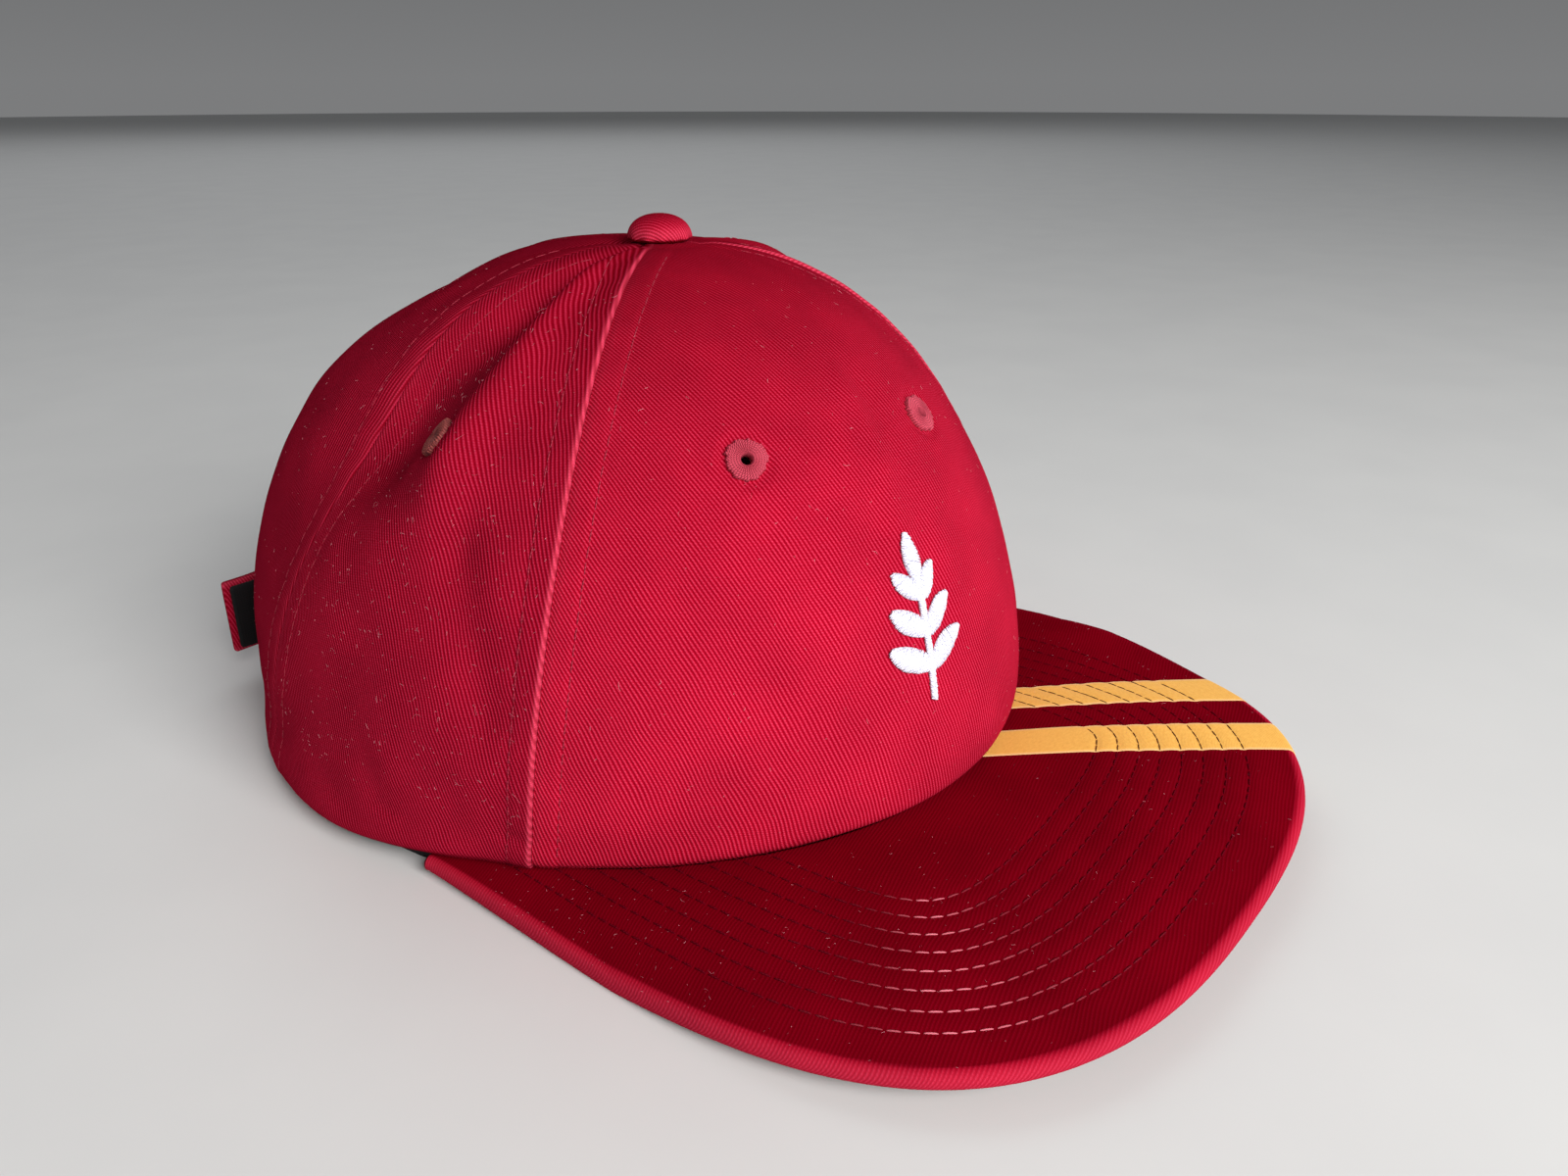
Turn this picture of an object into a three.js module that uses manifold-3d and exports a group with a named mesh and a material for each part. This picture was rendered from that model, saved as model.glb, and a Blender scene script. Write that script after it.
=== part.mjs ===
// A five-panel peaked cap in dark red cotton twill, resting on its sweatband and its peak.
// Millimetres, +Z up. The peak points to -Y and the wearer's left is +X.
// Angles on the crown are degrees from the front, positive toward the wearer's left.
// Levels on the crown run from -1 at the rim through 0 at the widest line to 1 at the top.

import * as THREE from "three";
import * as BufferGeometryUtils from "three/addons/utils/BufferGeometryUtils.js";
import Module from "manifold-3d";

const wasm = await Module();
wasm.setup();

// Driving sizes
const GAP = 0.3;
const CROWN = {
  frontLength: 102.4,
  backLength: 99,
  halfWidth: 86,
  widestHeight: 21.5,
  height: 116,
  topShift: -16.4,
  frontRound: 2,
  sideRound: 2.35,
  backRound: 2.85,
  topRound: 1.7,
  tuck: 0.02,
  rimHeight: 1,
  rimRise: 10.7,
  wall: 1.6,
  topHole: 4,
};
const TWIST = -7;
const LOW_SHARE = 0.15;

// Panels, each between two seams on the wearer's right (-1) or left (1)
const PANEL_ROWS = 17;
const PANELS = [
  { name: "front_panel", from: "front", fromSide: -1, to: "front", toSide: 1, columns: 22, eyelets: "front" },
  { name: "side_panel_right", from: "back", fromSide: -1, to: "front", toSide: -1, columns: 10, eyelets: "side_right" },
  { name: "side_panel_left", from: "front", fromSide: 1, to: "back", toSide: 1, columns: 10, eyelets: "side_left" },
  { name: "back_panel_right", from: "centre", fromSide: -1, to: "back", toSide: -1, columns: 12, eyelets: "back_right" },
  { name: "back_panel_left", from: "back", fromSide: 1, to: "centre", toSide: 1, columns: 12, eyelets: "back_left" },
];
const SEAMS = {
  front: { angle: 49.5, lean: 2.7 },
  back: { angle: 105, lean: 9 },
  centre: { angle: 180, lean: 0 },
};
const ARCH = { halfWidth: 36, sideHeight: 14, height: 46 };
const PEAK = {
  length: 60.4,
  halfWidth: 90,
  thickness: 3.4,
  endAngle: 72,
  tipHeight: 6.8,
  cornerHeight: 0.95,
  leftRise: 7,
  squareness: 4.08,
  fullness: 2.68,
  waist: 0.16,
  sidestep: 1.6,
  overhang: 2.2,
  arch: 1.2,
  columns: 36,
};
const STRIPES = { heading: 40.5, width: 10.6, depth: 0.9, offsets: [-28.3, -47.7] };
const BUTTON = { radius: 7, height: 4.8, lip: 1 };
const EYELET = { radius: 4.8, hole: 1.4, barrel: 2.5, proud: 1, clearance: 2.9 };
const BAND = { height: 30, thickness: 1.5, endAngle: 157, drop: 3.9, columns: 46, rows: 5 };
const STRAP = { low: 8, high: 28, thickness: 2 };
const SPRIG = { angle: -7, level: 0.245, stem: 26, stemWidth: 1.7, thickness: 0.8 };

// Soft folds of the cloth, each a ridge (or with a negative height a valley) between two places
const FOLDS = [
  { fromAngle: -71, fromLevel: 0.8, toAngle: -81, toLevel: 0.5, width: 8, height: 2 },
  { fromAngle: -81, fromLevel: 0.5, toAngle: -88, toLevel: 0.3, width: 9, height: 1.8 },
  { fromAngle: -86, fromLevel: 0.74, toAngle: -94, toLevel: 0.48, width: 10, height: -2.4 },
  { fromAngle: -59, fromLevel: 0.2, toAngle: -60, toLevel: -0.2, width: 3, height: 0.8 },
  { fromAngle: 80, fromLevel: 0.78, toAngle: 88, toLevel: 0.35, width: 8, height: 1.6 },
  { fromAngle: 140, fromLevel: 0.75, toAngle: 150, toLevel: 0.4, width: 12, height: -1.4 },
];
const FOLD_MM = { perAngle: 1.35, perLevel: 80 };

// Eyelets, by panel
const EYELETS = [
  { side: "front_right", angle: -28, level: 0.5 },
  { side: "front_left", angle: 9, level: 0.51 },
  { side: "side_right", angle: -81, level: 0.51 },
  { side: "side_left", angle: 67, level: 0.51 },
  { side: "back_right", angle: -154, level: 0.56 },
  { side: "back_left", angle: 140, level: 0.56 },
];

// The strap's way round the back: how far its inner face stands off the crown at each angle
const STRAP_ROUTE = [
  { angle: 140, off: 0.4 },
  { angle: 150, off: 0.4 },
  { angle: 160, off: 0.6 },
  { angle: 170, off: 1.3 },
  { angle: 180, off: 2.2 },
  { angle: 190, off: 2.6 },
  { angle: 198, off: 2.6 },
  { angle: 205, off: 2.8 },
  { angle: 210, off: 3.9 },
  { angle: 214, off: 6.4 },
  { angle: 217.5, off: 10.2 },
];
const TAB_ROUTE = [
  { angle: 184, off: 0.4 },
  { angle: 188, off: 0.4 },
  { angle: 194, off: 0.4 },
  { angle: 202, off: 0.4 },
];
const TAPE_ROUTE = [
  { angle: 207, off: 1.9 },
  { angle: 210.5, off: 2.8 },
  { angle: 214.3, off: 5.2 },
  { angle: 217.2, off: 8.5 },
];

// Leaves of the embroidered sprig, in pairs up the stem
const LEAVES = [
  { up: -9, length: 11, width: 5.2, tilt: 58 },
  { up: -2, length: 10, width: 4.8, tilt: 52 },
  { up: 5, length: 8.4, width: 4.2, tilt: 44 },
];

const COLOURS = {
  twill: { color: 0xa30f24, roughness: 0.85 },
  thread: { color: 0xb9414b, roughness: 0.7 },
  stripe: { color: 0xf0b958, roughness: 0.75 },
  lining: { color: 0x0c0b0d, roughness: 0.9 },
  white: { color: 0xe9e9f6, roughness: 0.6 },
};

const toRadians = THREE.MathUtils.degToRad;
const clamp = THREE.MathUtils.clamp;
const lerp = THREE.MathUtils.lerp;

const material = ({ color, roughness }) => new THREE.MeshStandardMaterial({ color, roughness, metalness: 0 });

// The crown's plan outline: half an ellipse in front and another behind
function outlineRadius(angle) {
  const turn = toRadians(angle);
  const length = Math.cos(turn) > 0 ? CROWN.frontLength : CROWN.backLength;
  return 1 / Math.hypot(Math.sin(turn) / CROWN.halfWidth, Math.cos(turn) / length);
}

// How square the side profile is, blended round the crown
function profileRound(angle) {
  const forward = Math.cos(toRadians(angle));
  const front = Math.max(forward, 0) ** 2;
  const back = Math.max(-forward, 0) ** 2;
  return CROWN.frontRound * front + CROWN.backRound * back + CROWN.sideRound * (1 - front - back);
}

function rimHeight(angle) {
  const forward = clamp((Math.cos(toRadians(angle)) + 0.3) / 1.3, 0, 1);
  return CROWN.rimHeight + CROWN.rimRise * forward ** 1.5;
}

// The smooth crown, before folds
function smoothCrown(angle, level) {
  const turn = toRadians(angle);
  const widest = outlineRadius(angle);
  const rim = rimHeight(angle);
  const rise = clamp(level, 0, 1) * Math.PI / 2;
  let radius = widest * (1 - CROWN.tuck * clamp(-level, 0, 1) ** 2);
  let height = lerp(rim, CROWN.widestHeight, 1 + clamp(level, -1, 0));
  let shift = 0;
  if (level > 0) {
    radius = widest * Math.cos(rise) ** (2 / profileRound(angle));
    height = lerp(CROWN.widestHeight, CROWN.height, Math.sin(rise) ** (2 / CROWN.topRound));
    shift = CROWN.topShift * (1 - (radius / widest) ** 2);
  }
  return new THREE.Vector3(Math.sin(turn) * radius, -Math.cos(turn) * radius + shift, height);
}

function crownNormal(angle, level) {
  const low = clamp(level - 0.01, -1, 0.97);
  const across = smoothCrown(angle + 0.5, level).sub(smoothCrown(angle - 0.5, level));
  const up = smoothCrown(angle, low + 0.02).sub(smoothCrown(angle, low));
  return across.cross(up).normalize();
}

// The height of all folds at one place, each a bell across and fading at its ends
function foldHeight(angle, level) {
  const here = new THREE.Vector2(angle * FOLD_MM.perAngle, level * FOLD_MM.perLevel);
  let height = 0;
  for (const fold of FOLDS) {
    const from = new THREE.Vector2(fold.fromAngle * FOLD_MM.perAngle, fold.fromLevel * FOLD_MM.perLevel);
    const to = new THREE.Vector2(fold.toAngle * FOLD_MM.perAngle, fold.toLevel * FOLD_MM.perLevel);
    const along = to.clone().sub(from);
    const part = clamp(here.clone().sub(from).dot(along) / along.lengthSq(), 0, 1);
    const away = here.distanceTo(from.addScaledVector(along, part));
    height += fold.height * Math.exp(-((away / fold.width) ** 2));
  }
  return height;
}

// A place on the folded crown, a distance out from its outer face
function crownPoint(angle, level, out = 0) {
  const lift = foldHeight(((angle + 540) % 360) - 180, level) + out;
  return smoothCrown(angle, level).addScaledVector(crownNormal(angle, level), lift);
}

// The level where the crown narrows to the hole under the button
function topLevel(angle) {
  const share = (CROWN.topHole / outlineRadius(angle)) ** (profileRound(angle) / 2);
  return Math.acos(share) / (Math.PI / 2);
}

function levelAtHeight(angle, height) {
  if (height <= CROWN.widestHeight) {
    const rim = rimHeight(angle);
    return clamp((height - rim) / (CROWN.widestHeight - rim) - 1, -1, 0);
  }
  const share = (height - CROWN.widestHeight) / (CROWN.height - CROWN.widestHeight);
  return Math.asin(share ** (CROWN.topRound / 2)) / (Math.PI / 2);
}

// Geometry helpers

function volumeOf(points, index) {
  let volume = 0;
  for (let i = 0; i < index.length; i += 3) {
    const [a, b, c] = [points[index[i]], points[index[i + 1]], points[index[i + 2]]];
    volume += a.dot(b.clone().cross(c)) / 6;
  }
  return volume;
}

// A closed wall between two grids of points, face to face
function wall(outer, inner) {
  const columns = outer.length;
  const rows = outer[0].length;
  const points = [...outer.flat(), ...inner.flat()];
  const at = (side, i, j) => side * columns * rows + i * rows + j;
  const index = [];
  const quad = (a, b, c, d) => index.push(a, b, c, a, c, d);
  for (let i = 0; i + 1 < columns; i += 1) {
    for (let j = 0; j + 1 < rows; j += 1) {
      quad(at(0, i, j), at(0, i + 1, j), at(0, i + 1, j + 1), at(0, i, j + 1));
      quad(at(1, i, j), at(1, i, j + 1), at(1, i + 1, j + 1), at(1, i + 1, j));
    }
    quad(at(0, i, 0), at(1, i, 0), at(1, i + 1, 0), at(0, i + 1, 0));
    quad(at(0, i, rows - 1), at(0, i + 1, rows - 1), at(1, i + 1, rows - 1), at(1, i, rows - 1));
  }
  for (let j = 0; j + 1 < rows; j += 1) {
    quad(at(0, 0, j), at(0, 0, j + 1), at(1, 0, j + 1), at(1, 0, j));
    quad(at(0, columns - 1, j), at(1, columns - 1, j), at(1, columns - 1, j + 1), at(0, columns - 1, j + 1));
  }
  if (volumeOf(points, index) < 0) {
    index.reverse();
  }
  const geometry = new THREE.BufferGeometry().setFromPoints(points);
  geometry.setIndex(index);
  geometry.computeVertexNormals();
  return geometry;
}

// A grid of points from a function of its column's and row's share
function grid(columns, rows, place) {
  return Array.from({ length: columns + 1 }, (_, i) => (
    Array.from({ length: rows + 1 }, (__, j) => place(i / columns, j / rows))));
}

function solidOf(geometry) {
  const bare = geometry.clone();
  bare.deleteAttribute("normal");
  bare.deleteAttribute("uv");
  const merged = BufferGeometryUtils.mergeVertices(bare, 1e-4);
  const vertProperties = new Float32Array(merged.attributes.position.array);
  const triVerts = new Uint32Array(merged.index.array);
  return new wasm.Manifold(new wasm.Mesh({ numProp: 3, vertProperties, triVerts }));
}

function geometryOf(solid) {
  const mesh = solid.getMesh();
  const geometry = new THREE.BufferGeometry();
  geometry.setAttribute("position", new THREE.BufferAttribute(new Float32Array(mesh.vertProperties), 3));
  geometry.setIndex(new THREE.BufferAttribute(new Uint32Array(mesh.triVerts), 1));
  geometry.computeVertexNormals();
  return geometry;
}

function named(name, geometry, colour) {
  const mesh = new THREE.Mesh(geometry, material(colour));
  mesh.name = name;
  return mesh;
}

// Crown panels

// A seam's angle at a level: it leans toward the front on its way up
function seamAngle(seam, side, level) {
  const climb = level < 0 ? LOW_SHARE * (level + 1) : lerp(LOW_SHARE, 1, level);
  return TWIST + side * (seam.angle - seam.lean * Math.sin(climb * Math.PI));
}

// Keeps a panel's edge half a gap from its seam line
function seamClearance(angle, level) {
  const radius = Math.hypot(smoothCrown(angle, level).x, smoothCrown(angle, level).y - CROWN.topShift);
  return THREE.MathUtils.radToDeg(GAP / 2 / Math.max(radius, CROWN.topHole));
}

function panelGeometry({ from, fromSide, to, toSide, columns }) {
  const first = (level) => seamAngle(SEAMS[from], fromSide, level);
  const last = (level) => seamAngle(SEAMS[to], toSide, level);
  const place = (across, up, out) => {
    const level = lerp(-1, topLevel(lerp(first(0), last(0), across)), up);
    const low = first(level) + seamClearance(first(level), level);
    const high = last(level) - seamClearance(last(level), level);
    return crownPoint(lerp(low, high, across), level, out);
  };
  const outer = grid(columns, PANEL_ROWS, (across, up) => place(across, up, 0));
  const inner = grid(columns, PANEL_ROWS, (across, up) => place(across, up, -CROWN.wall));
  return wall(outer, inner);
}

function archGeometry() {
  const { halfWidth, sideHeight, height } = ARCH;
  const shape = new THREE.Shape();
  shape.moveTo(-halfWidth, -10);
  shape.lineTo(-halfWidth, sideHeight);
  shape.absellipse(0, sideHeight, halfWidth, height - sideHeight, Math.PI, 0, true);
  shape.lineTo(halfWidth, -10);
  const geometry = new THREE.ExtrudeGeometry(shape, { depth: CROWN.backLength, bevelEnabled: false, curveSegments: 12 });
  geometry.rotateX(Math.PI / 2);
  geometry.translate(0, CROWN.backLength * 1.4, 0);
  geometry.rotateZ(toRadians(TWIST));
  return geometry;
}

function eyeletPose({ angle, level }) {
  const position = crownPoint(angle, level, 0);
  const quaternion = new THREE.Quaternion();
  quaternion.setFromUnitVectors(new THREE.Vector3(0, 0, 1), crownNormal(angle, level));
  return { position, quaternion };
}

function eyeletHole(eyelet) {
  const geometry = new THREE.CylinderGeometry(EYELET.clearance, EYELET.clearance, 12, 14);
  geometry.rotateX(Math.PI / 2);
  const { position, quaternion } = eyeletPose(eyelet);
  geometry.applyQuaternion(quaternion);
  geometry.translate(position.x, position.y, position.z);
  return geometry;
}

// A panel with its eyelet holes, and the arch cut out of the back panels
function makePanel(panel) {
  const cutters = EYELETS.filter(({ side }) => side.startsWith(panel.eyelets)).map(eyeletHole);
  if (panel.name.startsWith("back")) {
    cutters.push(archGeometry());
  }
  const solid = cutters.reduce((rest, cutter) => rest.subtract(solidOf(cutter)), solidOf(panelGeometry(panel)));
  return named(panel.name, geometryOf(solid), COLOURS.twill);
}

// Eyelets and button

function makeEyelet(eyelet) {
  const { radius, hole, barrel, proud } = EYELET;
  const profile = [
    [hole, -CROWN.wall - GAP],
    [barrel, -CROWN.wall - GAP],
    [barrel, GAP + 0.05],
    [radius, GAP + 0.05],
    [radius, GAP + 0.4],
    [radius - 1, GAP + proud * 0.9],
    [hole + 1, GAP + proud],
    [hole, GAP + proud * 0.6],
    [hole, -CROWN.wall - GAP],
  ].map(([x, y]) => new THREE.Vector2(x, y));
  const geometry = new THREE.LatheGeometry(profile, 14);
  geometry.rotateX(Math.PI / 2);
  const mesh = named(`eyelet_${eyelet.side}`, geometry, COLOURS.thread);
  const { position, quaternion } = eyeletPose(eyelet);
  mesh.position.copy(position);
  mesh.quaternion.copy(quaternion);
  return mesh;
}

// The crown's highest level line at a distance from its top
function capHeight(radius) {
  const heights = [0, 90, 180].map((angle) => {
    const share = (Math.max(radius, 0.1) / outlineRadius(angle)) ** (profileRound(angle) / 2);
    return smoothCrown(angle, Math.acos(share) / (Math.PI / 2)).z;
  });
  return Math.max(...heights);
}

function makeButton() {
  const { radius, height, lip } = BUTTON;
  const profile = [];
  for (let i = 0; i <= 4; i += 1) {
    const r = (radius - 0.4) * i / 4;
    profile.push(new THREE.Vector2(r, capHeight(r) + GAP));
  }
  const edge = profile.at(-1).y + lip;
  const top = CROWN.height + height;
  for (let i = 0; i <= 7; i += 1) {
    const turn = (i / 7) * Math.PI / 2;
    profile.push(new THREE.Vector2(radius * Math.cos(turn), lerp(edge, top, Math.sin(turn) ** 0.9)));
  }
  profile[0].x = 0;
  profile.at(-1).x = 0;
  const geometry = new THREE.LatheGeometry(profile, 18);
  geometry.rotateX(Math.PI / 2);
  const mesh = named("top_button", geometry, COLOURS.twill);
  mesh.position.y = CROWN.topShift;
  return mesh;
}

// Sweatband inside the rim

// Heights up the band: its lower edge, the rim, and even steps above the rim
function bandHeight(angle, step) {
  const rim = rimHeight(angle);
  const bottom = Math.max(0, rim - BAND.drop);
  return step === 0 ? bottom : lerp(rim, bottom + BAND.height, (step - 1) / (BAND.rows - 1));
}

function bandPoint(angle, step, inset) {
  const height = bandHeight(angle, step);
  const level = levelAtHeight(angle, height);
  return smoothCrown(angle, level).addScaledVector(crownNormal(angle, level), -inset).setZ(height);
}

function makeSweatband() {
  const inset = CROWN.wall + 2 * GAP;
  const angleAt = (across) => TWIST + lerp(-BAND.endAngle, BAND.endAngle, across);
  const place = (across, up, depth) => bandPoint(angleAt(across), Math.round(up * BAND.rows), inset + depth);
  const outer = grid(BAND.columns, BAND.rows, (across, up) => place(across, up, 0));
  const inner = grid(BAND.columns, BAND.rows, (across, up) => place(across, up, BAND.thickness));
  return named("sweatband", wall(outer, inner), COLOURS.lining);
}

// Peak

function peakEdge(turn) {
  const end = smoothCrown(PEAK.endAngle, -1);
  const forward = Math.abs(Math.cos(toRadians(turn)));
  const front = -CROWN.frontLength - PEAK.length;
  const y = end.y - (end.y - front) * forward;
  const bow = (1 - forward ** PEAK.squareness) ** (1 / PEAK.fullness);
  const narrow = 1 - (1 - (end.x + PEAK.overhang) / PEAK.halfWidth) * (1 - forward) ** 2;
  const x = Math.sign(turn) * PEAK.halfWidth * bow * (narrow - PEAK.waist * forward * (1 - forward));
  const aside = PEAK.sidestep * Math.sqrt(forward);
  const droop = clamp((1 - forward) / 0.6, 0, 1) ** 1.5;
  const endRise = end.z - GAP - PEAK.thickness / 2 - PEAK.cornerHeight;
  const leftRise = PEAK.leftRise * Math.max(Math.sin(toRadians(turn)), 0) * clamp(forward * 2, 0, 1);
  const z = lerp(PEAK.tipHeight, PEAK.cornerHeight, droop) + endRise * clamp(1 - forward / 0.7, 0, 1) ** 1.5;
  return new THREE.Vector3(x + aside, y, z + leftRise);
}

// The peak's upper face from under the rim out to its edge, or a face below it by a depth
function peakPoint(across, out, depth) {
  const turn = lerp(-90, 90, across);
  const angle = turn / 90 * PEAK.endAngle;
  const start = smoothCrown(angle, -1);
  const inward = new THREE.Vector3(-start.x, -start.y, 0).setLength(CROWN.wall);
  const top = rimHeight(angle) - GAP;
  start.add(inward).setZ(top);
  const edge = peakEdge(turn);
  edge.z += PEAK.thickness / 2;
  const point = start.clone().lerp(edge, out);
  point.z = lerp(start.z, edge.z, out) + PEAK.arch * Math.sin(Math.PI * out) * Math.cos(toRadians(turn));
  point.z -= depth;
  return point;
}

// The rounding of the peak's outer edge, as a drop of each face
function edgeRound(across, out) {
  const run = peakPoint(across, 1, 0).distanceTo(peakPoint(across, out, 0));
  const half = PEAK.thickness / 2;
  const near = clamp(1 - run / half, 0, 0.92);
  return half * (1 - Math.sqrt(1 - near * near));
}

// Steps across the peak, close together at its rounded edge
function peakSteps(across) {
  const length = peakPoint(across, 0, 0).distanceTo(peakPoint(across, 1, 0));
  const rows = [0, 0.2, 0.4, 0.6, 0.8].map((share) => share * (1 - PEAK.thickness / 2 / length));
  const rounded = [1.7, 0.9, 0.4, 0].map((left) => 1 - left / length);
  return [...rows, ...rounded];
}

function peakFaces(upper, lower) {
  const face = (depthAt) => Array.from({ length: PEAK.columns + 1 }, (_, i) => {
    const across = i / PEAK.columns;
    return peakSteps(across).map((out) => peakPoint(across, out, depthAt(edgeRound(across, out))));
  });
  return wall(face(upper), face(lower));
}

// A long box across the peak in the stripes' direction
function stripeCutter(offset, width) {
  const geometry = new THREE.BoxGeometry(300, width, 60);
  geometry.translate(0, offset, 0);
  geometry.rotateZ(toRadians(STRIPES.heading - 90));
  return solidOf(geometry);
}

function makePeak() {
  const whole = solidOf(peakFaces((drop) => drop, (drop) => PEAK.thickness - drop));
  const channel = solidOf(peakFaces((drop) => drop - 2, (drop) => drop + STRIPES.depth + GAP));
  const inlay = solidOf(peakFaces((drop) => drop, (drop) => drop + STRIPES.depth));
  let body = whole;
  const bands = STRIPES.offsets.map((offset, i) => {
    body = body.subtract(channel.intersect(stripeCutter(offset, STRIPES.width + 2 * GAP)));
    const band = inlay.intersect(stripeCutter(offset, STRIPES.width));
    return named(`peak_stripe_${i + 1}`, geometryOf(band), COLOURS.stripe);
  });
  return [named("peak", geometryOf(body), COLOURS.twill), ...bands];
}

// Back strap

// A strap along a route, as a smooth curve through its rows
function strapGeometry(route, low, high, thickness, columns) {
  const angles = new THREE.SplineCurve(route.map((row) => new THREE.Vector2(row.angle, row.off)));
  const place = (across, up, out) => {
    const { x: angle, y: off } = angles.getPoint(across);
    const height = lerp(low, high, up);
    const wallPoint = smoothCrown(angle, levelAtHeight(angle, (low + high) / 2));
    const outward = new THREE.Vector3(wallPoint.x, wallPoint.y, 0).normalize();
    return wallPoint.addScaledVector(outward, off + out).setZ(height);
  };
  const outer = grid(columns, 1, (across, up) => place(across, up, thickness));
  const inner = grid(columns, 1, (across, up) => place(across, up, 0));
  return wall(outer, inner);
}

function makeStrap() {
  const { low, high, thickness } = STRAP;
  return [
    named("back_strap", strapGeometry(STRAP_ROUTE, low, high, thickness, 48), COLOURS.twill),
    named("strap_tab", strapGeometry(TAB_ROUTE, low + 1, high - 1, 1.5, 8), COLOURS.twill),
    named("hook_tape", strapGeometry(TAPE_ROUTE, low + 2, high - 2, 1, 12), COLOURS.lining),
  ];
}

// Embroidered sprig on the front panel

// A place on the crown a few millimetres across and up from the sprig's middle
function sprigPoint(across, up, out) {
  const { angle, level } = SPRIG;
  const here = smoothCrown(angle, level);
  const perDegree = here.distanceTo(smoothCrown(angle + 1, level));
  const perLevel = here.distanceTo(smoothCrown(angle, level + 0.01)) * 100;
  return crownPoint(angle + across / perDegree, level + up / perLevel, out);
}

// A pad with its middle line from one place to another and a half width at each share of it
function padGeometry(from, to, halfWidth, columns) {
  const along = to.clone().sub(from);
  const side = new THREE.Vector2(-along.y, along.x).normalize();
  const place = (share, edge, out) => {
    const spot = from.clone().addScaledVector(along, share).addScaledVector(side, (edge * 2 - 1) * halfWidth(share));
    return sprigPoint(spot.x, spot.y, out);
  };
  const outer = grid(columns, 2, (share, edge) => place(share, edge, GAP + SPRIG.thickness));
  const inner = grid(columns, 2, (share, edge) => place(share, edge, GAP));
  return wall(outer, inner);
}

function leafGeometry({ up, length, width, tilt }, side) {
  const from = new THREE.Vector2(0, up);
  const turn = toRadians(tilt) * side;
  const to = new THREE.Vector2(Math.sin(turn), Math.cos(turn)).multiplyScalar(length).add(from);
  const halfWidth = (share) => Math.max(0.25, width / 2 * Math.sin(Math.PI * (0.06 + 0.9 * share)) ** 0.8);
  return padGeometry(from, to, halfWidth, 5);
}

function makeSprig() {
  const low = new THREE.Vector2(0, -SPRIG.stem / 2 - 3);
  const high = new THREE.Vector2(0, SPRIG.stem / 2 - 3);
  let solid = solidOf(padGeometry(low, high, () => SPRIG.stemWidth / 2, 6));
  const leaves = LEAVES.flatMap((leaf) => [leafGeometry(leaf, -1), leafGeometry(leaf, 1)]);
  leaves.push(leafGeometry({ up: 8, length: 10, width: 4.6, tilt: 0 }, 1));
  for (const leaf of leaves) {
    solid = solid.add(solidOf(leaf));
  }
  return named("emblem", geometryOf(solid), COLOURS.white);
}

// The whole cap, with its origin below its middle on the surface that it rests on
function makeCap() {
  const cap = new THREE.Group();
  cap.add(...PANELS.map(makePanel));
  cap.add(...EYELETS.map(makeEyelet));
  cap.add(makeButton(), makeSweatband());
  cap.add(...makePeak());
  cap.add(...makeStrap());
  cap.add(makeSprig());
  const box = new THREE.Box3().setFromObject(cap, true);
  const middle = box.getCenter(new THREE.Vector3());
  cap.position.set(-middle.x, -middle.y, -box.min.z);
  cap.updateMatrixWorld(true);
  return cap;
}

export default makeCap();
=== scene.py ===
"""A five-panel peaked cap in dark red cotton twill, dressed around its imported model.

Millimetres are used for every shape until its vertices are set, and the crown's own axis is the
origin there. The peak points to -Y, the wearer's left is +X. Angles round the crown are degrees from
the front, positive toward the wearer's left. Levels run from -1 at the rim through 0 at the widest
line to 1 at the top.
"""

import logging
import math
from dataclasses import dataclass
from enum import Enum
from typing import Callable, Sequence

import bpy
import numpy as np
from mathutils import Euler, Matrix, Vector


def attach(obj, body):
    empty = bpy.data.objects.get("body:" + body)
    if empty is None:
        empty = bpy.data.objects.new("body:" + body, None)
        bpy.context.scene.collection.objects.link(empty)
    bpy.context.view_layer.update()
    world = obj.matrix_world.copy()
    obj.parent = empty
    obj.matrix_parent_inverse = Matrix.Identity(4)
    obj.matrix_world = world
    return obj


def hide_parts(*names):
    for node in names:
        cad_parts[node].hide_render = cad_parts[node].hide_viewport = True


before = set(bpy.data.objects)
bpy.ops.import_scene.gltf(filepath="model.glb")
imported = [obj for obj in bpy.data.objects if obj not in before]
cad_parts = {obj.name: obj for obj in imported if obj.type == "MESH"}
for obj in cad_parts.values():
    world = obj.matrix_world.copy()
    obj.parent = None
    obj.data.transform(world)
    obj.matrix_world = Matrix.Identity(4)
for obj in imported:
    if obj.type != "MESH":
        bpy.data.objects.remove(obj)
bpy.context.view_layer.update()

log = logging.getLogger("cap")

Array = np.ndarray
Colour = tuple[float, float, float]
Row = tuple[Array, Array]

MM = 0.001
AXIS = np.array([-0.019, 29.808, 0.0])
GAP = 0.3
TWIST = -7.0
UP = np.array([0.0, 0.0, 1.0])
WEAVE = "weave"
# The share of the paler colour: wear, and painted highlights on seam ridges, the peak's rim, the bands'
# edges and the peak's stitches.
WEAR_AND_HIGHLIGHT = "wear"
# Painted shade: the share by which cloth is painted darker, more where it lies level.
PAINTED_SHADE = "painted_shade"


def bell(away: Array | float, width: float) -> Array:
    """A bell of height 1 and the given width."""
    return np.exp(-((np.asarray(away) / width) ** 2))


def smooth_step(share: Array | float) -> Array:
    """An even step from 0 to 1, flat at both ends."""
    share = np.clip(share, 0, 1)
    return share * share * (3 - 2 * share)


def unit(vectors: Array) -> Array:
    """Vectors of length 1."""
    length = np.linalg.norm(vectors, axis=-1, keepdims=True)
    return vectors / np.maximum(length, 1e-12)


def run_along(line: Array) -> Array:
    """The distance run at each place of a line, from its start."""
    return np.concatenate([[0], np.cumsum(np.linalg.norm(np.diff(line, axis=0), axis=1))])


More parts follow.
